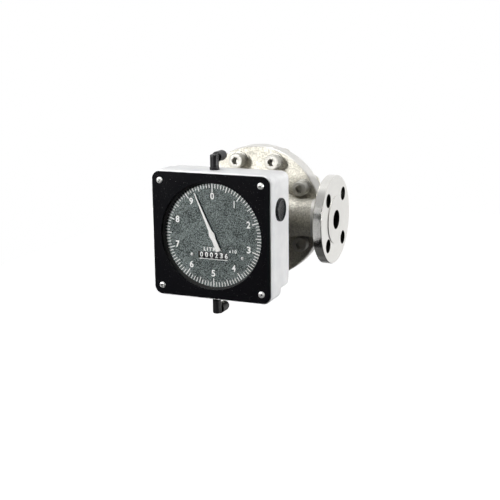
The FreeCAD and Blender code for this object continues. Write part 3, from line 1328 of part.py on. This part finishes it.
def below(shape):
    """Same piece on the underside of the case."""
    return shape.mirror(V(0, 0, 0), Z_AXIS)


# ---- the part -------------------------------------------------------------------------

def all_nodes():
    """Every node by name."""
    nodes = {
        "inlet_flange": inlet_flange(),
        "outlet_flange": outlet_flange(),
        "body_casting": body_casting(),
        "rear_cover": rear_cover(),
        "cover_o_ring": cover_o_ring(),
        "cover_screws": cover_screws(),
        "spring_washers": spring_washers(),
        "bearing_plate": bearing_plate(),
        "bearing_plate_screws": bearing_plate_screws(),
        "rotor_top": rotor_top(),
        "rotor_low": rotor_low(),
        "rotor_bushes": rotor_bushes(),
        "timing_gear_top": timing_gear_top(),
        "timing_gear_low": timing_gear_low(),
        "drive_magnet": drive_magnet(),
        "isolating_plate": isolating_plate(),
        "isolating_o_ring": isolating_o_ring(),
        "register_adapter": register_adapter(),
        "adapter_screws": adapter_screws(),
        "follower_magnet": follower_magnet(),
        "follower_shaft": follower_shaft(),
        "first_wheel": first_wheel(),
        "gear_bracket": gear_bracket(),
        "transmission_shaft": transmission_shaft(),
        "second_wheel": second_wheel(),
        "idler_shaft": idler_shaft(),
        "third_wheel": third_wheel(),
        "movement_rear_plate": movement_rear_plate(),
        "movement_front_plate": movement_front_plate(),
        "movement_pillars": movement_pillars(),
        "pointer_bush": pointer_bush(),
        "pointer_shaft": pointer_shaft(),
        "pointer": pointer(),
        "counter_frame": counter_frame(),
        "counter_drive_shaft": counter_drive_shaft(),
        "counter_drive_gear": counter_drive_gear(),
        "units_gear": units_gear(),
        "register_case": register_case(),
        "case_screws": case_screws(),
        "bezel_plate": bezel_plate(),
        "bezel_frame": bezel_frame(),
        "case_gasket": case_gasket(),
        "window_glass": window_glass(),
        "dial_ring": dial_ring(),
        "bezel_screws": bezel_screws(),
        "dial_plate": dial_plate(),
        "dial_screws": dial_screws(),
        "side_plug": side_plug(),
    }
    for index in range(1, NUMBER_WHEELS + 1):
        nodes["number_wheel_%d" % index] = number_wheel(index)
    nodes["top_stud"] = fitting_stud()
    nodes["top_elbow"] = elbow(TOP_ELBOW_HEIGHT)
    nodes["top_release_collar"] = release_collar(TOP_ELBOW_HEIGHT)
    nodes["bottom_stud"] = below(fitting_stud())
    nodes["bottom_elbow"] = below(elbow(BOTTOM_ELBOW_HEIGHT))
    nodes["bottom_release_collar"] = below(release_collar(BOTTOM_ELBOW_HEIGHT))
    return nodes


os.makedirs("parts", exist_ok=True)
for node_name, node_shape in all_nodes().items():
    node_shape.exportStep("parts/" + node_name + ".step")
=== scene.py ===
import bmesh
import bpy
import math
from mathutils import Matrix, Vector


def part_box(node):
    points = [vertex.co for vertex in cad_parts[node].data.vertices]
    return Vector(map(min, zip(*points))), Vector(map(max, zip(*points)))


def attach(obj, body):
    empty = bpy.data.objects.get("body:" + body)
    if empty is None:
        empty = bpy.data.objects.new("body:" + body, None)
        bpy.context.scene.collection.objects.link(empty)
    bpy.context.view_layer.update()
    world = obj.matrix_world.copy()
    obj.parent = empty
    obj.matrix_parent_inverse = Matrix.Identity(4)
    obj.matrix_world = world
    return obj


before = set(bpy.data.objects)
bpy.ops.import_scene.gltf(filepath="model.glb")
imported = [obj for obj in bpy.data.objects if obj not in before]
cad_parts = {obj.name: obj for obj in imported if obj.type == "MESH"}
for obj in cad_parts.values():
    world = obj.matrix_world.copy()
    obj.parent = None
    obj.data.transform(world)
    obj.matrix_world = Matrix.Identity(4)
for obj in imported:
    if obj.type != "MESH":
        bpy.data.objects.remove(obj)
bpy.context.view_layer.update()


# ---- Camera ------------------------------------------------------------------------
# A long lens, a little above the flow axis and to the right of the dial. It sees the
# dial, the case's right side and the face of the outlet flange.
CAMERA_PLACE = Vector((0.7112, -1.3949, 0.3008))
CAMERA_YAW = math.radians(23.05)
CAMERA_PITCH = math.radians(13.2)
CAMERA_ROLL = math.radians(-0.64)
LENS_MM = 76.6
SENSOR_MM = 36.0

camera_data = bpy.data.cameras.new("camera")
camera_data.lens = LENS_MM
camera_data.sensor_width = SENSOR_MM
camera = bpy.data.objects.new("camera", camera_data)
bpy.context.scene.collection.objects.link(camera)
camera.matrix_world = (Matrix.Translation(CAMERA_PLACE)
                       @ Matrix.Rotation(CAMERA_YAW, 4, "Z")
                       @ Matrix.Rotation(math.pi / 2 - CAMERA_PITCH, 4, "X")
                       @ Matrix.Rotation(CAMERA_ROLL, 4, "Z"))
bpy.context.scene.camera = camera
bpy.context.scene.view_settings.view_transform = "Standard"


# ---- Studio ------------------------------------------------------------------------
# White backdrop behind and above the meter, a dim room in front of it with a softbox
# high up. The key lamp is on the left; two panels with honeycombs, one overhead and one
# on the right, send their light straight down and straight across.
class Value:
    """A node's output; sums, products and comparisons with it add Math nodes."""

    def __init__(self, tree, socket):
        self.tree = tree
        self.socket = socket

    def math(self, operation, *values):
        return self.tree.node("Math", {"operation": operation}, dict(enumerate(values)))

    def __add__(self, other):
        return self.math("ADD", self, other)

    def __radd__(self, other):
        return self.math("ADD", other, self)

    def __sub__(self, other):
        return self.math("SUBTRACT", self, other)

    def __rsub__(self, other):
        return self.math("SUBTRACT", other, self)

    def __mul__(self, other):
        return self.math("MULTIPLY", self, other)

    def __rmul__(self, other):
        return self.math("MULTIPLY", other, self)

    def __pow__(self, other):
        return self.math("POWER", self, other)

    def __rpow__(self, other):
        return self.math("POWER", other, self)

    def __abs__(self):
        return self.math("ABSOLUTE", self)

    def __lt__(self, other):
        return self.math("LESS_THAN", self, other)

    def __gt__(self, other):
        return self.math("GREATER_THAN", self, other)

    def sine(self):
        return self.math("SINE", self)

    def rise(self, low, high):
        """0 up to low, 1 from high on, smooth in between."""
        return self.tree.node("MapRange", {"interpolation_type": "SMOOTHSTEP"},
                              {"Value": self, "From Min": low, "From Max": high})


class Tree:
    """The nodes of a material or the world, made one by one."""

    def __init__(self, owner):
        owner.use_nodes = True
        self.owner = owner
        self.nodes = owner.node_tree.nodes
        self.links = owner.node_tree.links

    def join(self, value, socket):
        if isinstance(value, Value):
            self.links.new(value.socket, socket)
        elif isinstance(value, tuple) and socket.type == "RGBA":
            socket.default_value = (*value, 1.0)
        else:
            socket.default_value = value

    def node(self, kind, settings=None, sockets=None, out=0):
        made = self.nodes.new("ShaderNode" + kind)
        for name, value in (settings or {}).items():
            setattr(made, name, value)
        for name, value in (sockets or {}).items():
            self.join(value, made.inputs[name])
        return Value(self, made.outputs[out])

    def mix(self, share, first, second):
        return self.node("Mix", {"data_type": "RGBA"}, {0: share, 6: first, 7: second}, 2)

    def ray(self, kind):
        """1 for rays of that kind, such as Camera or Glossy."""
        return self.node("LightPath", out="Is %s Ray" % kind)

    def place(self):
        """Position on the object, in metres."""
        return self.node("TexCoord", out="Object")

    def axes(self, vector=None):
        split = self.node("SeparateXYZ", sockets={0: vector or self.place()})
        return [Value(self, out) for out in split.socket.node.outputs]

    def point(self, x, y, z=0.0):
        return self.node("CombineXYZ", sockets={0: x, 1: y, 2: z})

    def noise(self, size, detail=2.0, vector=None, rough=0.5):
        """Noise from 0 to 1 whose lumps are about size across, in metres."""
        return self.node("TexNoise", sockets={"Vector": vector or self.place(),
                                              "Scale": 1.0 / size, "Detail": detail,
                                              "Roughness": rough})


class Finish(Tree):
    """A surface: its shader's constants, and what varies over it."""

    def __init__(self, name, **constants):
        super().__init__(bpy.data.materials.new(name))
        self.shader = self.nodes["Principled BSDF"]
        self.set(**constants)

    def set(self, **values):
        for name, value in values.items():
            self.join(value, self.shader.inputs[name.replace("_", " ")])

    def bump(self, height, depth):
        self.set(Normal=self.node("Bump", sockets={"Height": height, "Distance": depth}))

    def on(self, *names):
        """Give the finish to CAD nodes."""
        for name in names:
            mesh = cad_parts[name].data
            mesh.materials.clear()
            mesh.materials.append(self.owner)


WHITE = (1.0, 1.0, 1.0)
DIM_ROOM = (0.006, 0.006, 0.006)
BACKDROP_SPILL = (0.03, 0.03, 0.03)
FRONT_SOFTBOX = (0.5, 0.5, 0.5)

world = bpy.data.worlds.new("studio")
bpy.context.scene.world = world
sky = Tree(world)
y, z = sky.axes(sky.node("TexCoord", out="Generated"))[1:]
backdrop = (y + z * 0.4).rise(0.15, 0.6)
room = sky.mix(backdrop, DIM_ROOM, BACKDROP_SPILL)
softbox = sky.mix(z.rise(0.3, 0.5), DIM_ROOM, FRONT_SOFTBOX)
mirrored = sky.mix(backdrop, softbox, WHITE)
seen = sky.ray("Camera") + sky.ray("Transmission")
sky.join(sky.mix(seen, sky.mix(sky.ray("Glossy"), room, mirrored), WHITE),
         sky.nodes["Background"].inputs["Color"])

METER_MIDDLE = Vector((0.13, -0.03, 0.0))
for name, way, distance, watts, width, height, cone in (
        ("key_lamp", (-0.6, -1.0, 0.36), 1.6, 3.6, 0.3, 0.3, 60.0),
        ("overhead_lamp", (0.0, 0.0, 1.0), 0.6, 0.33, 0.6, 0.4, 8.0),
        ("filler_lamp", (1.0, 0.0, 0.06), 0.9, 0.38, 0.34, 0.4, 10.0)):
    lamp = bpy.data.lights.new(name, "AREA")
    lamp.shape = "RECTANGLE"
    lamp.size = width
    lamp.size_y = height
    lamp.spread = math.radians(cone)
    lamp.energy = watts
    holder = bpy.data.objects.new(name, lamp)
    way = Vector(way).normalized()
    holder.location = METER_MIDDLE + way * distance
    holder.rotation_euler = way.to_track_quat("Z", "Y").to_euler()
    bpy.context.scene.collection.objects.link(holder)


# ---- Table -------------------------------------------------------------------------
# Sheet of pale paper well below the meter, from just in front of it to far behind. Its
# glow is a little less than white near the meter, so that a shadow can lie there, and
# fades towards the front in reflections.
MIDDLE_X = 0.125
TABLE_SIZE = 2.4
TABLE_Y = 1.0
TABLE_Z = -0.42
TABLE_SHARES = 8
PAPER_BOUNCE = (0.2, 0.2, 0.2)

table_mesh = bpy.data.meshes.new("table")
shape = bmesh.new()
bmesh.ops.create_grid(shape, x_segments=TABLE_SHARES, y_segments=TABLE_SHARES,
                      size=TABLE_SIZE / 2,
                      matrix=Matrix.Translation((MIDDLE_X, TABLE_Y, TABLE_Z)))
shape.to_mesh(table_mesh)
shape.free()
table = bpy.data.objects.new("table", table_mesh)
bpy.context.scene.collection.objects.link(table)

paper = Finish("table_paper", Roughness=0.9)
x, y = paper.axes()[:2]
seen = (paper.ray("Camera") + paper.ray("Transmission")
        + paper.ray("Glossy") * y.rise(0.2, 0.9))
weave = paper.mix(paper.noise(0.3), (0.79, 0.79, 0.79), (0.82, 0.82, 0.82))
paper.set(Base_Color=paper.mix(seen, PAPER_BOUNCE, weave))
across = x - MIDDLE_X
away = (across * across + y * y) ** 0.5
glow = paper.node("Emission", sockets={"Strength": 1.0})
none = paper.node("Emission", sockets={"Strength": 0.0})
lift = paper.node("MixShader", sockets={0: seen * (0.9 + away.rise(0.3, 0.9) * 0.1),
                                        1: none, 2: glow})
lit = paper.node("AddShader", sockets={0: Value(paper, paper.shader.outputs[0]), 1: lift})
paper.join(lit, paper.nodes["Material Output"].inputs[0])
table_mesh.materials.append(paper.owner)


# ---- Body casting and rear cover ---------------------------------------------------
# Sand-cast stainless steel, blasted to a fine cream-grey grain. The rims of the two
# bolting discs are turned.
DISC_R = 0.097
RIM_FROM = DISC_R - 0.0016
RIM_TO = DISC_R - 0.0012
CAST_PALE = (0.76, 0.735, 0.655)
CAST_DARK = (0.40, 0.385, 0.335)
TURNED_STEEL = (0.74, 0.73, 0.70)


def cast_grain(finish, pits):
    """Height of a sand-cast skin: fine grain, lumps and a few pits."""
    return (finish.noise(0.0011, 3.0) * 0.5 + finish.noise(0.004, 3.0) * 0.8
            + (finish.noise(0.0026, 2.0).rise(0.28, 0.42) - 1.0) * pits)


cast = Finish("cast_steel", Metallic=0.5, Specular_IOR_Level=0.2)
x, y, z = cast.axes()
across = x - MIDDLE_X
from_axis = (across * across + z * z) ** 0.5
rim = from_axis.rise(RIM_FROM, RIM_TO)
mottle = cast.noise(0.018, 4.0, rough=0.6) * 0.4 + cast.noise(0.0024, 2.0) * 0.6
skin = cast.mix(mottle.rise(0.3, 0.68), CAST_DARK, CAST_PALE)
turned_marks = cast.noise(0.0012, 2.0, cast.point(from_axis, y * 6.0))
cast.set(Base_Color=cast.mix(rim, skin, TURNED_STEEL))
cast.set(Roughness=0.42 - rim * 0.1 + mottle * 0.12)
cast.bump((1.0 - rim) * cast_grain(cast, 0.4) + rim * turned_marks * 0.12, 0.0007)
cast.on("body_casting", "rear_cover")


# ---- Pipe flanges ------------------------------------------------------------------
# Weld-neck flanges of stainless steel, turned bright all over. The gasket face has
# fine grooves and the hub keeps the blasted skin of the neck. The walls of the bore and
# the bolt holes are coloured near black as painted shade.
FLANGE_THICK = 0.014
EDGE_FROM = 0.0608
EDGE_TO = 0.0612
HUB_R = 0.034
HUB_FROM = FLANGE_THICK - 0.0003
RAISED_R = 0.0335
RAISED_HEIGHT = 0.0006
GROOVE_PITCH = 0.0008
HOLE_PLACE = 0.045 / math.sqrt(2.0)
WIDER_HOLE_R = 0.0097
BORE_R = 0.0135
WALL_REACH = 0.0001

flange = Finish("turned_flange", Metallic=1.0)
x, y, z = flange.axes()
from_axis = (y * y + z * z) ** 0.5
inset = MIDDLE_X - abs(x - MIDDLE_X)
hub = inset.rise(HUB_FROM, FLANGE_THICK) * (from_axis < HUB_R)
raised = (from_axis < RAISED_R) * (inset < RAISED_HEIGHT)
edge = from_axis.rise(EDGE_FROM, EDGE_TO)
round_axis = flange.point(from_axis, inset)
marks = flange.noise(0.0006, 2.0, round_axis)
fine = flange.noise(0.0003, 1.0, round_axis)
grooves = (from_axis * (math.tau / GROOVE_PITCH)).sine()
stain = flange.noise(0.02, 3.0)
bright = flange.mix(marks * 0.5 + stain * 0.5, (0.66, 0.65, 0.62), (0.86, 0.85, 0.82))
skin = flange.mix(flange.noise(0.0022, 3.0), CAST_DARK, CAST_PALE)
off_y = abs(y) - HOLE_PLACE
off_z = abs(z) - HOLE_PLACE
drilled = (off_y * off_y + off_z * off_z) ** 0.5 < WIDER_HOLE_R + WALL_REACH
bored = from_axis < BORE_R + WALL_REACH
# Painted shade: the walls of the bore and the bolt holes are coloured near black.
painted_hole_shade = flange.mix(stain, (0.03, 0.03, 0.028), (0.10, 0.10, 0.09))
flange.set(Base_Color=flange.mix(drilled + bored, flange.mix(hub, bright, skin), painted_hole_shade))
flange.set(Roughness=0.26 + stain * 0.12 + hub * 0.22 - edge * 0.12)
flange.bump((1.0 - hub) * (marks * 0.12 + fine * 0.06 + raised * grooves * 0.08)
            + hub * cast_grain(flange, 0.4), 0.00035)
flange.on("inlet_flange", "outlet_flange")


# ---- Rotors, timing gears, shafts --------------------------------------------------
# Ground stainless steel, lightly oiled. The fine marks run from front to back, which is
# along the rotors and their shafts.
ground = Finish("ground_steel", Metallic=1.0)
x, y, z = ground.axes()
lay = ground.noise(0.0004, 2.0, ground.point(x, y * 0.05, z))
ground.set(Base_Color=ground.mix(lay, (0.50, 0.50, 0.51), (0.66, 0.66, 0.67)))
ground.set(Roughness=0.24 + lay * 0.14)
ground.bump(lay, 0.00004)
ground.on("rotor_top", "rotor_low", "timing_gear_top", "timing_gear_low", "bearing_plate",
          "isolating_plate", "follower_shaft", "transmission_shaft", "idler_shaft",
          "pointer_shaft", "counter_drive_shaft")


# ---- Bushes, magnets and seals -----------------------------------------------------
# Carbon bushes, sintered magnet rings and rubber rings, all dark and dull. The case
# gasket is grey sheet.
def dull(name, dark, pale, size, rough, depth, metallic=0.0):
    """Even finish whose fine grain runs from dark to pale."""
    finish = Finish(name, Metallic=metallic)
    grain = finish.noise(size, 3.0)
    finish.set(Base_Color=finish.mix(grain, dark, pale), Roughness=rough + grain * 0.15)
    finish.bump(grain, depth)
    return finish


carbon = dull("carbon", (0.02, 0.02, 0.02), (0.05, 0.05, 0.05),
              size=0.0006, rough=0.45, depth=0.00003)
carbon.on("rotor_bushes")
magnet = dull("sintered_magnet", (0.05, 0.05, 0.055), (0.13, 0.13, 0.14),
              size=0.0005, rough=0.35, depth=0.00005, metallic=0.8)
magnet.on("drive_magnet", "follower_magnet")
rubber = dull("seal_rubber", (0.012, 0.012, 0.012), (0.03, 0.03, 0.03),
              size=0.0008, rough=0.6, depth=0.00004)
rubber.on("cover_o_ring", "isolating_o_ring")
gasket = dull("gasket_sheet", (0.26, 0.27, 0.28), (0.42, 0.43, 0.44),
              size=0.0009, rough=0.7, depth=0.00005)
gasket.on("case_gasket")


# ---- Socket head screws ------------------------------------------------------------
# Socket head screws of stainless steel, with spring washers under the eight large ones.
# Tumbled, so their skin is slightly dimpled.
screw = Finish("screw_steel", Metallic=0.6)
screw.set(Base_Color=screw.mix(screw.noise(0.006, 3.0), (0.40, 0.39, 0.36),
                               (0.62, 0.61, 0.57)))
screw.set(Roughness=0.4 + screw.noise(0.003) * 0.14)
screw.bump(screw.noise(0.0016, 2.0), 0.0004)
screw.on("cover_screws", "spring_washers", "bearing_plate_screws", "adapter_screws",
         "case_screws")


# ---- Register adapter --------------------------------------------------------------
# Hollow cast neck between the body and the case, in the body's own steel. It is blasted
# as the body is, but its skin is smoother.
neck = Finish("cast_neck", Metallic=0.85)
mottle = neck.noise(0.012, 4.0) * 0.5 + neck.noise(0.002, 3.0) * 0.5
neck.set(Base_Color=neck.mix(mottle.rise(0.32, 0.66), CAST_DARK, CAST_PALE))
neck.set(Roughness=0.5 + mottle * 0.12)
neck.bump(cast_grain(neck, 0.3), 0.0003)
neck.on("register_adapter")


# ---- Register case -----------------------------------------------------------------
# Die-cast aluminium box with a flat front frame, stoved in light grey. The coat has a
# faint orange peel and a little dust on it.
case = Finish("case_coat", Specular_IOR_Level=0.25)
peel = case.noise(0.0016, 2.0)
cloud = case.noise(0.03, 4.0, rough=0.6)
dust = case.noise(0.0012, 2.0).rise(0.66, 0.74)
coat = case.mix(cloud.rise(0.3, 0.7), (0.79, 0.79, 0.80), (0.88, 0.88, 0.88))
case.set(Base_Color=case.mix(dust * 0.35, coat, (0.45, 0.45, 0.44)))
case.set(Roughness=0.34 + cloud * 0.12)
case.bump(peel + case.noise(0.0006, 2.0) * 0.3, 0.00006)
case.on("register_case", "bezel_frame")


# ---- Movement ----------------------------------------------------------------------
# Brass wheels, plates and pillars of the reduction gears, and the brass frame and gears
# of the counter, straight-grained with fine emery.
brass = Finish("brass", Metallic=1.0)
x, y, z = brass.axes()
lay = brass.noise(0.0004, 2.0, brass.point(x * 0.06, y, z))
tarnish = brass.noise(0.015, 4.0)
brass.set(Base_Color=brass.mix(tarnish, (0.52, 0.37, 0.15), (0.80, 0.62, 0.30)))
brass.set(Roughness=0.24 + lay * 0.16 + tarnish * 0.08)
brass.bump(lay, 0.00003)
brass.on("first_wheel", "second_wheel", "third_wheel", "gear_bracket",
         "movement_rear_plate", "movement_front_plate", "movement_pillars", "pointer_bush",
         "counter_frame", "counter_drive_gear", "units_gear")


# ---- Number wheels -----------------------------------------------------------------
# Six black moulded wheels on one axle, with hot-stamped white figures round their rims.
# The units wheel is furthest right; figures follow each other downwards.
WHEEL_R = 0.013
WHEEL_Y = -0.1407
WHEEL_Z = -0.027
FIGURES = 10
FIGURE_WIDE = 0.0042
FIGURE_TALL = 0.0070
FIGURE_PROUD = 0.00005
BOLD = 0.025
LETTER_GAP = 1.3
BENDS = 12
READING = "000236"


def lettering(shape, text, width, height, place_point):
    """Adds bold figures to a mesh, cut into strips so that they can follow a rim; each
    point is laid down by place_point(across, up)."""
    curve = bpy.data.curves.new("lettering", "FONT")
    curve.body = text
    curve.offset = BOLD
    curve.space_character = LETTER_GAP
    curve.align_x = "CENTER"
    curve.align_y = "CENTER"
    holder = bpy.data.objects.new("lettering", curve)
    flat = bpy.data.meshes.new_from_object(holder)
    part = bmesh.new()
    part.from_mesh(flat)
    bpy.data.objects.remove(holder)
    bpy.data.curves.remove(curve)
    bpy.data.meshes.remove(flat)
    low = min(v.co.y for v in part.verts)
    high = max(v.co.y for v in part.verts)
    left = min(v.co.x for v in part.verts)
    right = max(v.co.x for v in part.verts)
    wide = width / (right - left)
    tall = height / (high - low)
    for bend in range(1, BENDS):
        level = low + (high - low) * bend / BENDS
        bmesh.ops.bisect_plane(part, geom=part.verts[:] + part.edges[:] + part.faces[:],
                               plane_co=(0, level, 0), plane_no=(0, 1, 0))
    new = {}
    for vert in part.verts:
        across = (vert.co.x - (left + right) / 2) * wide
        up = (vert.co.y - (low + high) / 2) * tall
        new[vert] = shape.verts.new(place_point(across, up))
    for face in part.faces:
        shape.faces.new([new[v] for v in face.verts])
    part.free()


def piece(name, shape, finish, body):
    """Turns a bmesh into a piece that rides on a CAD body."""
    mesh = bpy.data.meshes.new(name)
    shape.to_mesh(mesh)
    shape.free()
    mesh.materials.append(finish.owner)
    made = bpy.data.objects.new(name, mesh)
    bpy.context.scene.collection.objects.link(made)
    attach(made, body)


wheel_black = dull("wheel_black", (0.008, 0.008, 0.009), (0.02, 0.02, 0.022),
                   size=0.0007, rough=0.4, depth=0.00002)
figure_white = Finish("figure_white", Roughness=0.5)
figure_white.set(Base_Color=figure_white.mix(figure_white.noise(0.0005, 3.0),
                                             (0.86, 0.87, 0.85), (0.96, 0.97, 0.95)))
wheel_bodies = ("units_wheel", "tens_wheel", "hundreds_wheel", "thousands_wheel",
                "ten_thousands_wheel", "hundred_thousands_wheel")
for index, body in enumerate(wheel_bodies, 1):
    node = "number_wheel_%d" % index
    wheel_black.on(node)
    low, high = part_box(node)
    middle = (low[0] + high[0]) / 2
    shown = int(READING[-index])
    shape = bmesh.new()
    for figure in range(FIGURES):
        turn = math.tau * (shown - figure) / FIGURES

        def on_rim(across, up):
            angle = turn + up / WHEEL_R
            reach = WHEEL_R + FIGURE_PROUD
            return (middle + across, WHEEL_Y - reach * math.cos(angle),
                    WHEEL_Z + reach * math.sin(angle))

        lettering(shape, str(figure), FIGURE_WIDE, FIGURE_TALL, on_rim)
    piece("figures_" + body, shape, figure_white, body)


# ---- Dial --------------------------------------------------------------------------
# Thin aluminium disc sprayed dark grey-green with a fine hammer texture, and a matt
# black ring round it. Scale, figures and units are screen-printed in white.
REGISTER_X = 0.131
DIAL_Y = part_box("dial_plate")[0][1]
PRINT_THICK = 0.00004
TICKS = 100
TICK_OUTER = 0.0693
HALF_TURN_TICK = (0.0582, 0.0006)
NUMBERED_TICK = (0.0590, 0.0006)
FIFTH_TICK = (0.0610, 0.0005)
SMALL_TICK = (0.0633, 0.00045)
NUMERAL_WIDTH = 0.0054
NUMERAL_HEIGHT = 0.0092
STROKE_HALF = 0.0006
NUMERAL_PLACES = ((0.0, 0.0529), (0.0311, 0.0436), (0.0510, 0.0179), (0.0510, -0.0154),
                  (0.0293, -0.0417), (-0.0004, -0.0511), (-0.0321, -0.0411),
                  (-0.0521, -0.0150), (-0.0514, 0.0189), (-0.0307, 0.0443))
WORD_HEIGHT = 0.0048
UNIT_WIDTH = 0.0265
UNIT_PLACE = (-0.0004, -0.0186)
TIMES_TEN_WIDTH = 0.0115
TIMES_TEN_PLACE = (0.0281, -0.0193)
UNDERLINE_Z = -0.0321
UNDERLINE_REACH = 0.0205
UNDERLINE_HALF = 0.00035

dial = Finish("dial_paint", Specular_IOR_Level=0.3)
hammer = dial.noise(0.0008, 1.0)
cloud = dial.noise(0.02, 4.0, rough=0.6)
dial.set(Base_Color=dial.mix((hammer * 0.8 + cloud * 0.2).rise(0.42, 0.64),
                             (0.008, 0.012, 0.012), (0.27, 0.32, 0.31)))
dial.set(Roughness=0.5 + hammer * 0.2)
dial.bump(hammer, 0.00008)
dial.on("dial_plate")
ring_black = dull("ring_black", (0.006, 0.006, 0.006), (0.015, 0.015, 0.015),
                  size=0.0008, rough=0.55, depth=0.00003)
ring_black.on("dial_ring")


def on_dial(x, z):
    return (REGISTER_X + x, DIAL_Y, z)


def near(x, z):
    """Lays lettering down round one place of the dial."""
    return lambda across, up: on_dial(x + across, z + up)


def bar(shape, x, z, turn, half_width, low, high):
    """Upright bar from low to high, swung clockwise by turn round (x, z)."""
    corners = []
    for across, along in ((-half_width, low), (half_width, low), (half_width, high),
                          (-half_width, high)):
        corners.append(shape.verts.new(on_dial(
            x + across * math.cos(turn) + along * math.sin(turn),
            z - across * math.sin(turn) + along * math.cos(turn))))
    shape.faces.new(corners)


def thicken(shape):
    """Gives a flat print its thickness, towards the front."""
    made = bmesh.ops.extrude_face_region(shape, geom=shape.faces[:])
    moved = [v for v in made["geom"] if isinstance(v, bmesh.types.BMVert)]
    bmesh.ops.translate(shape, verts=moved, vec=(0.0, -PRINT_THICK, 0.0))
    bmesh.ops.recalc_face_normals(shape, faces=shape.faces[:])


scale = bmesh.new()
for tick in range(TICKS):
    if tick % 50 == 0:
        inner, half_width = HALF_TURN_TICK
    elif tick % 10 == 0:
        inner, half_width = NUMBERED_TICK
    elif tick % 5 == 0:
        inner, half_width = FIFTH_TICK
    else:
        inner, half_width = SMALL_TICK
    bar(scale, 0.0, 0.0, math.tau * tick / TICKS, half_width, inner, TICK_OUTER)
thicken(scale)
piece("dial_scale", scale, figure_white, "root")

numerals = bmesh.new()
for numeral, (x, z) in enumerate(NUMERAL_PLACES):
    if numeral == 1:
        bar(numerals, x, z, 0.0, STROKE_HALF, -NUMERAL_HEIGHT / 2, NUMERAL_HEIGHT / 2)
    else:
        lettering(numerals, str(numeral), NUMERAL_WIDTH, NUMERAL_HEIGHT, near(x, z))
lettering(numerals, "LITRES", UNIT_WIDTH, WORD_HEIGHT, near(*UNIT_PLACE))
lettering(numerals, "x10", TIMES_TEN_WIDTH, WORD_HEIGHT, near(*TIMES_TEN_PLACE))
bar(numerals, 0.0, UNDERLINE_Z, math.pi / 2, UNDERLINE_HALF, -UNDERLINE_REACH,
    UNDERLINE_REACH)
thicken(numerals)
piece("dial_figures", numerals, figure_white, "root")


# ---- Dial screws -------------------------------------------------------------------
# Two small round head screws of nickel-plated steel that hold the dial to its posts.
# The plating is a little worn.
dial_screw = Finish("dial_screw_nickel", Metallic=0.4, Roughness=0.35)
wear = dial_screw.noise(0.0012, 2.0)
dial_screw.set(Base_Color=dial_screw.mix(wear, (0.7, 0.7, 0.68), (0.95, 0.95, 0.93)))
dial_screw.bump(wear, 0.0001)
dial_screw.on("dial_screws")


# ---- Pointer -----------------------------------------------------------------------
# Thin aluminium pointer on a small boss, painted white. It is pushed on to the
# pointer shaft.
pointer = Finish("pointer_white", Roughness=0.45)
chips = pointer.noise(0.0012, 3.0)
pointer.set(Base_Color=pointer.mix(chips, (0.80, 0.80, 0.77), (0.95, 0.95, 0.93)))
pointer.bump(chips, 0.00002)
pointer.on("pointer")


# ---- Window glass ------------------------------------------------------------------
# Flat clear glass behind the bezel plate, with a faint uneven haze. It is nearly
# invisible from the front.
glass = Finish("window_glass", Roughness=0.03, IOR=1.5)
haze = glass.noise(0.02, 3.0)
glass.set(Base_Color=glass.mix(haze, (0.02, 0.02, 0.02), (0.05, 0.05, 0.05)))
glass.set(Alpha=0.06 + haze * 0.03)
glass.on("window_glass")


# ---- Bezel plate -------------------------------------------------------------------
# Square of sheet steel enamelled gloss black, with a round opening. Fine dust lies in
# the enamel.
enamel = Finish("black_enamel", Specular_IOR_Level=0.15)
specks = enamel.noise(0.0013, 2.0).rise(0.69, 0.76)
wipe = enamel.noise(0.02, 4.0, rough=0.65)
enamel.set(Base_Color=enamel.mix(specks * 0.8, (0.004, 0.004, 0.005), (0.16, 0.16, 0.15)))
enamel.set(Roughness=0.16 + wipe * 0.14)
enamel.bump(enamel.noise(0.002, 2.0), 0.00003)
enamel.on("bezel_plate")


# ---- Bezel screws ------------------------------------------------------------------
# Four cross recess screws of polished stainless steel, one near each corner of the
# plate. A dark cross of painted shade lies over each recess, standing in for its shade;
# it leans, mirrored from corner to corner.
BEZEL_SCREW_X = 0.072
BEZEL_SCREW_Z = 0.0714
CROSS_REACH = 0.0022
CROSS_HALF = 0.0006
LEAN_ALONG = 0.9
LEAN_ASIDE = 0.44

bezel_screw = Finish("bezel_screw_steel", Metallic=0.6)
x, z = bezel_screw.axes()[::2]
across = abs(x - REGISTER_X) - BEZEL_SCREW_X
up = abs(z) - BEZEL_SCREW_Z
one_bar = across * LEAN_ALONG + up * LEAN_ASIDE
other_bar = up * LEAN_ALONG - across * LEAN_ASIDE
# Painted shade: a dark cross on each head, where the recess would lie in shade.
cross = ((abs(one_bar) < CROSS_HALF) * (abs(other_bar) < CROSS_REACH)
         + (abs(other_bar) < CROSS_HALF) * (abs(one_bar) < CROSS_REACH))
wear = bezel_screw.noise(0.0011, 2.0)
bright = bezel_screw.mix(wear, (0.72, 0.72, 0.70), (0.92, 0.92, 0.90))
bezel_screw.set(Base_Color=bezel_screw.mix(cross, bright, (0.02, 0.02, 0.02)))
bezel_screw.set(Roughness=0.2 + wear * 0.2)
bezel_screw.bump(wear, 0.0002)
bezel_screw.on("bezel_screws")


# ---- Side plug ---------------------------------------------------------------------
# Moulded black plug pushed into the hole in the case's right side, where its bead holds
# it. The head is dished and polished.
plug = dull("plug_black", (0.004, 0.004, 0.005), (0.01, 0.01, 0.011),
            size=0.003, rough=0.16, depth=0.00002)
plug.set(Specular_IOR_Level=0.25)
plug.on("side_plug")


# ---- Air fittings ------------------------------------------------------------------
# Push-in elbows of black glass-filled nylon, one on top of the case and one below it,
# each on a stud that it turns round, with a release collar in its mouth.
nylon = dull("nylon_black", (0.004, 0.004, 0.005), (0.012, 0.012, 0.013),
             size=0.0007, rough=0.3, depth=0.00004)
nylon.set(Specular_IOR_Level=0.35)
for side in ("top", "bottom"):
    nylon.on(side + "_stud", side + "_elbow", side + "_release_collar")
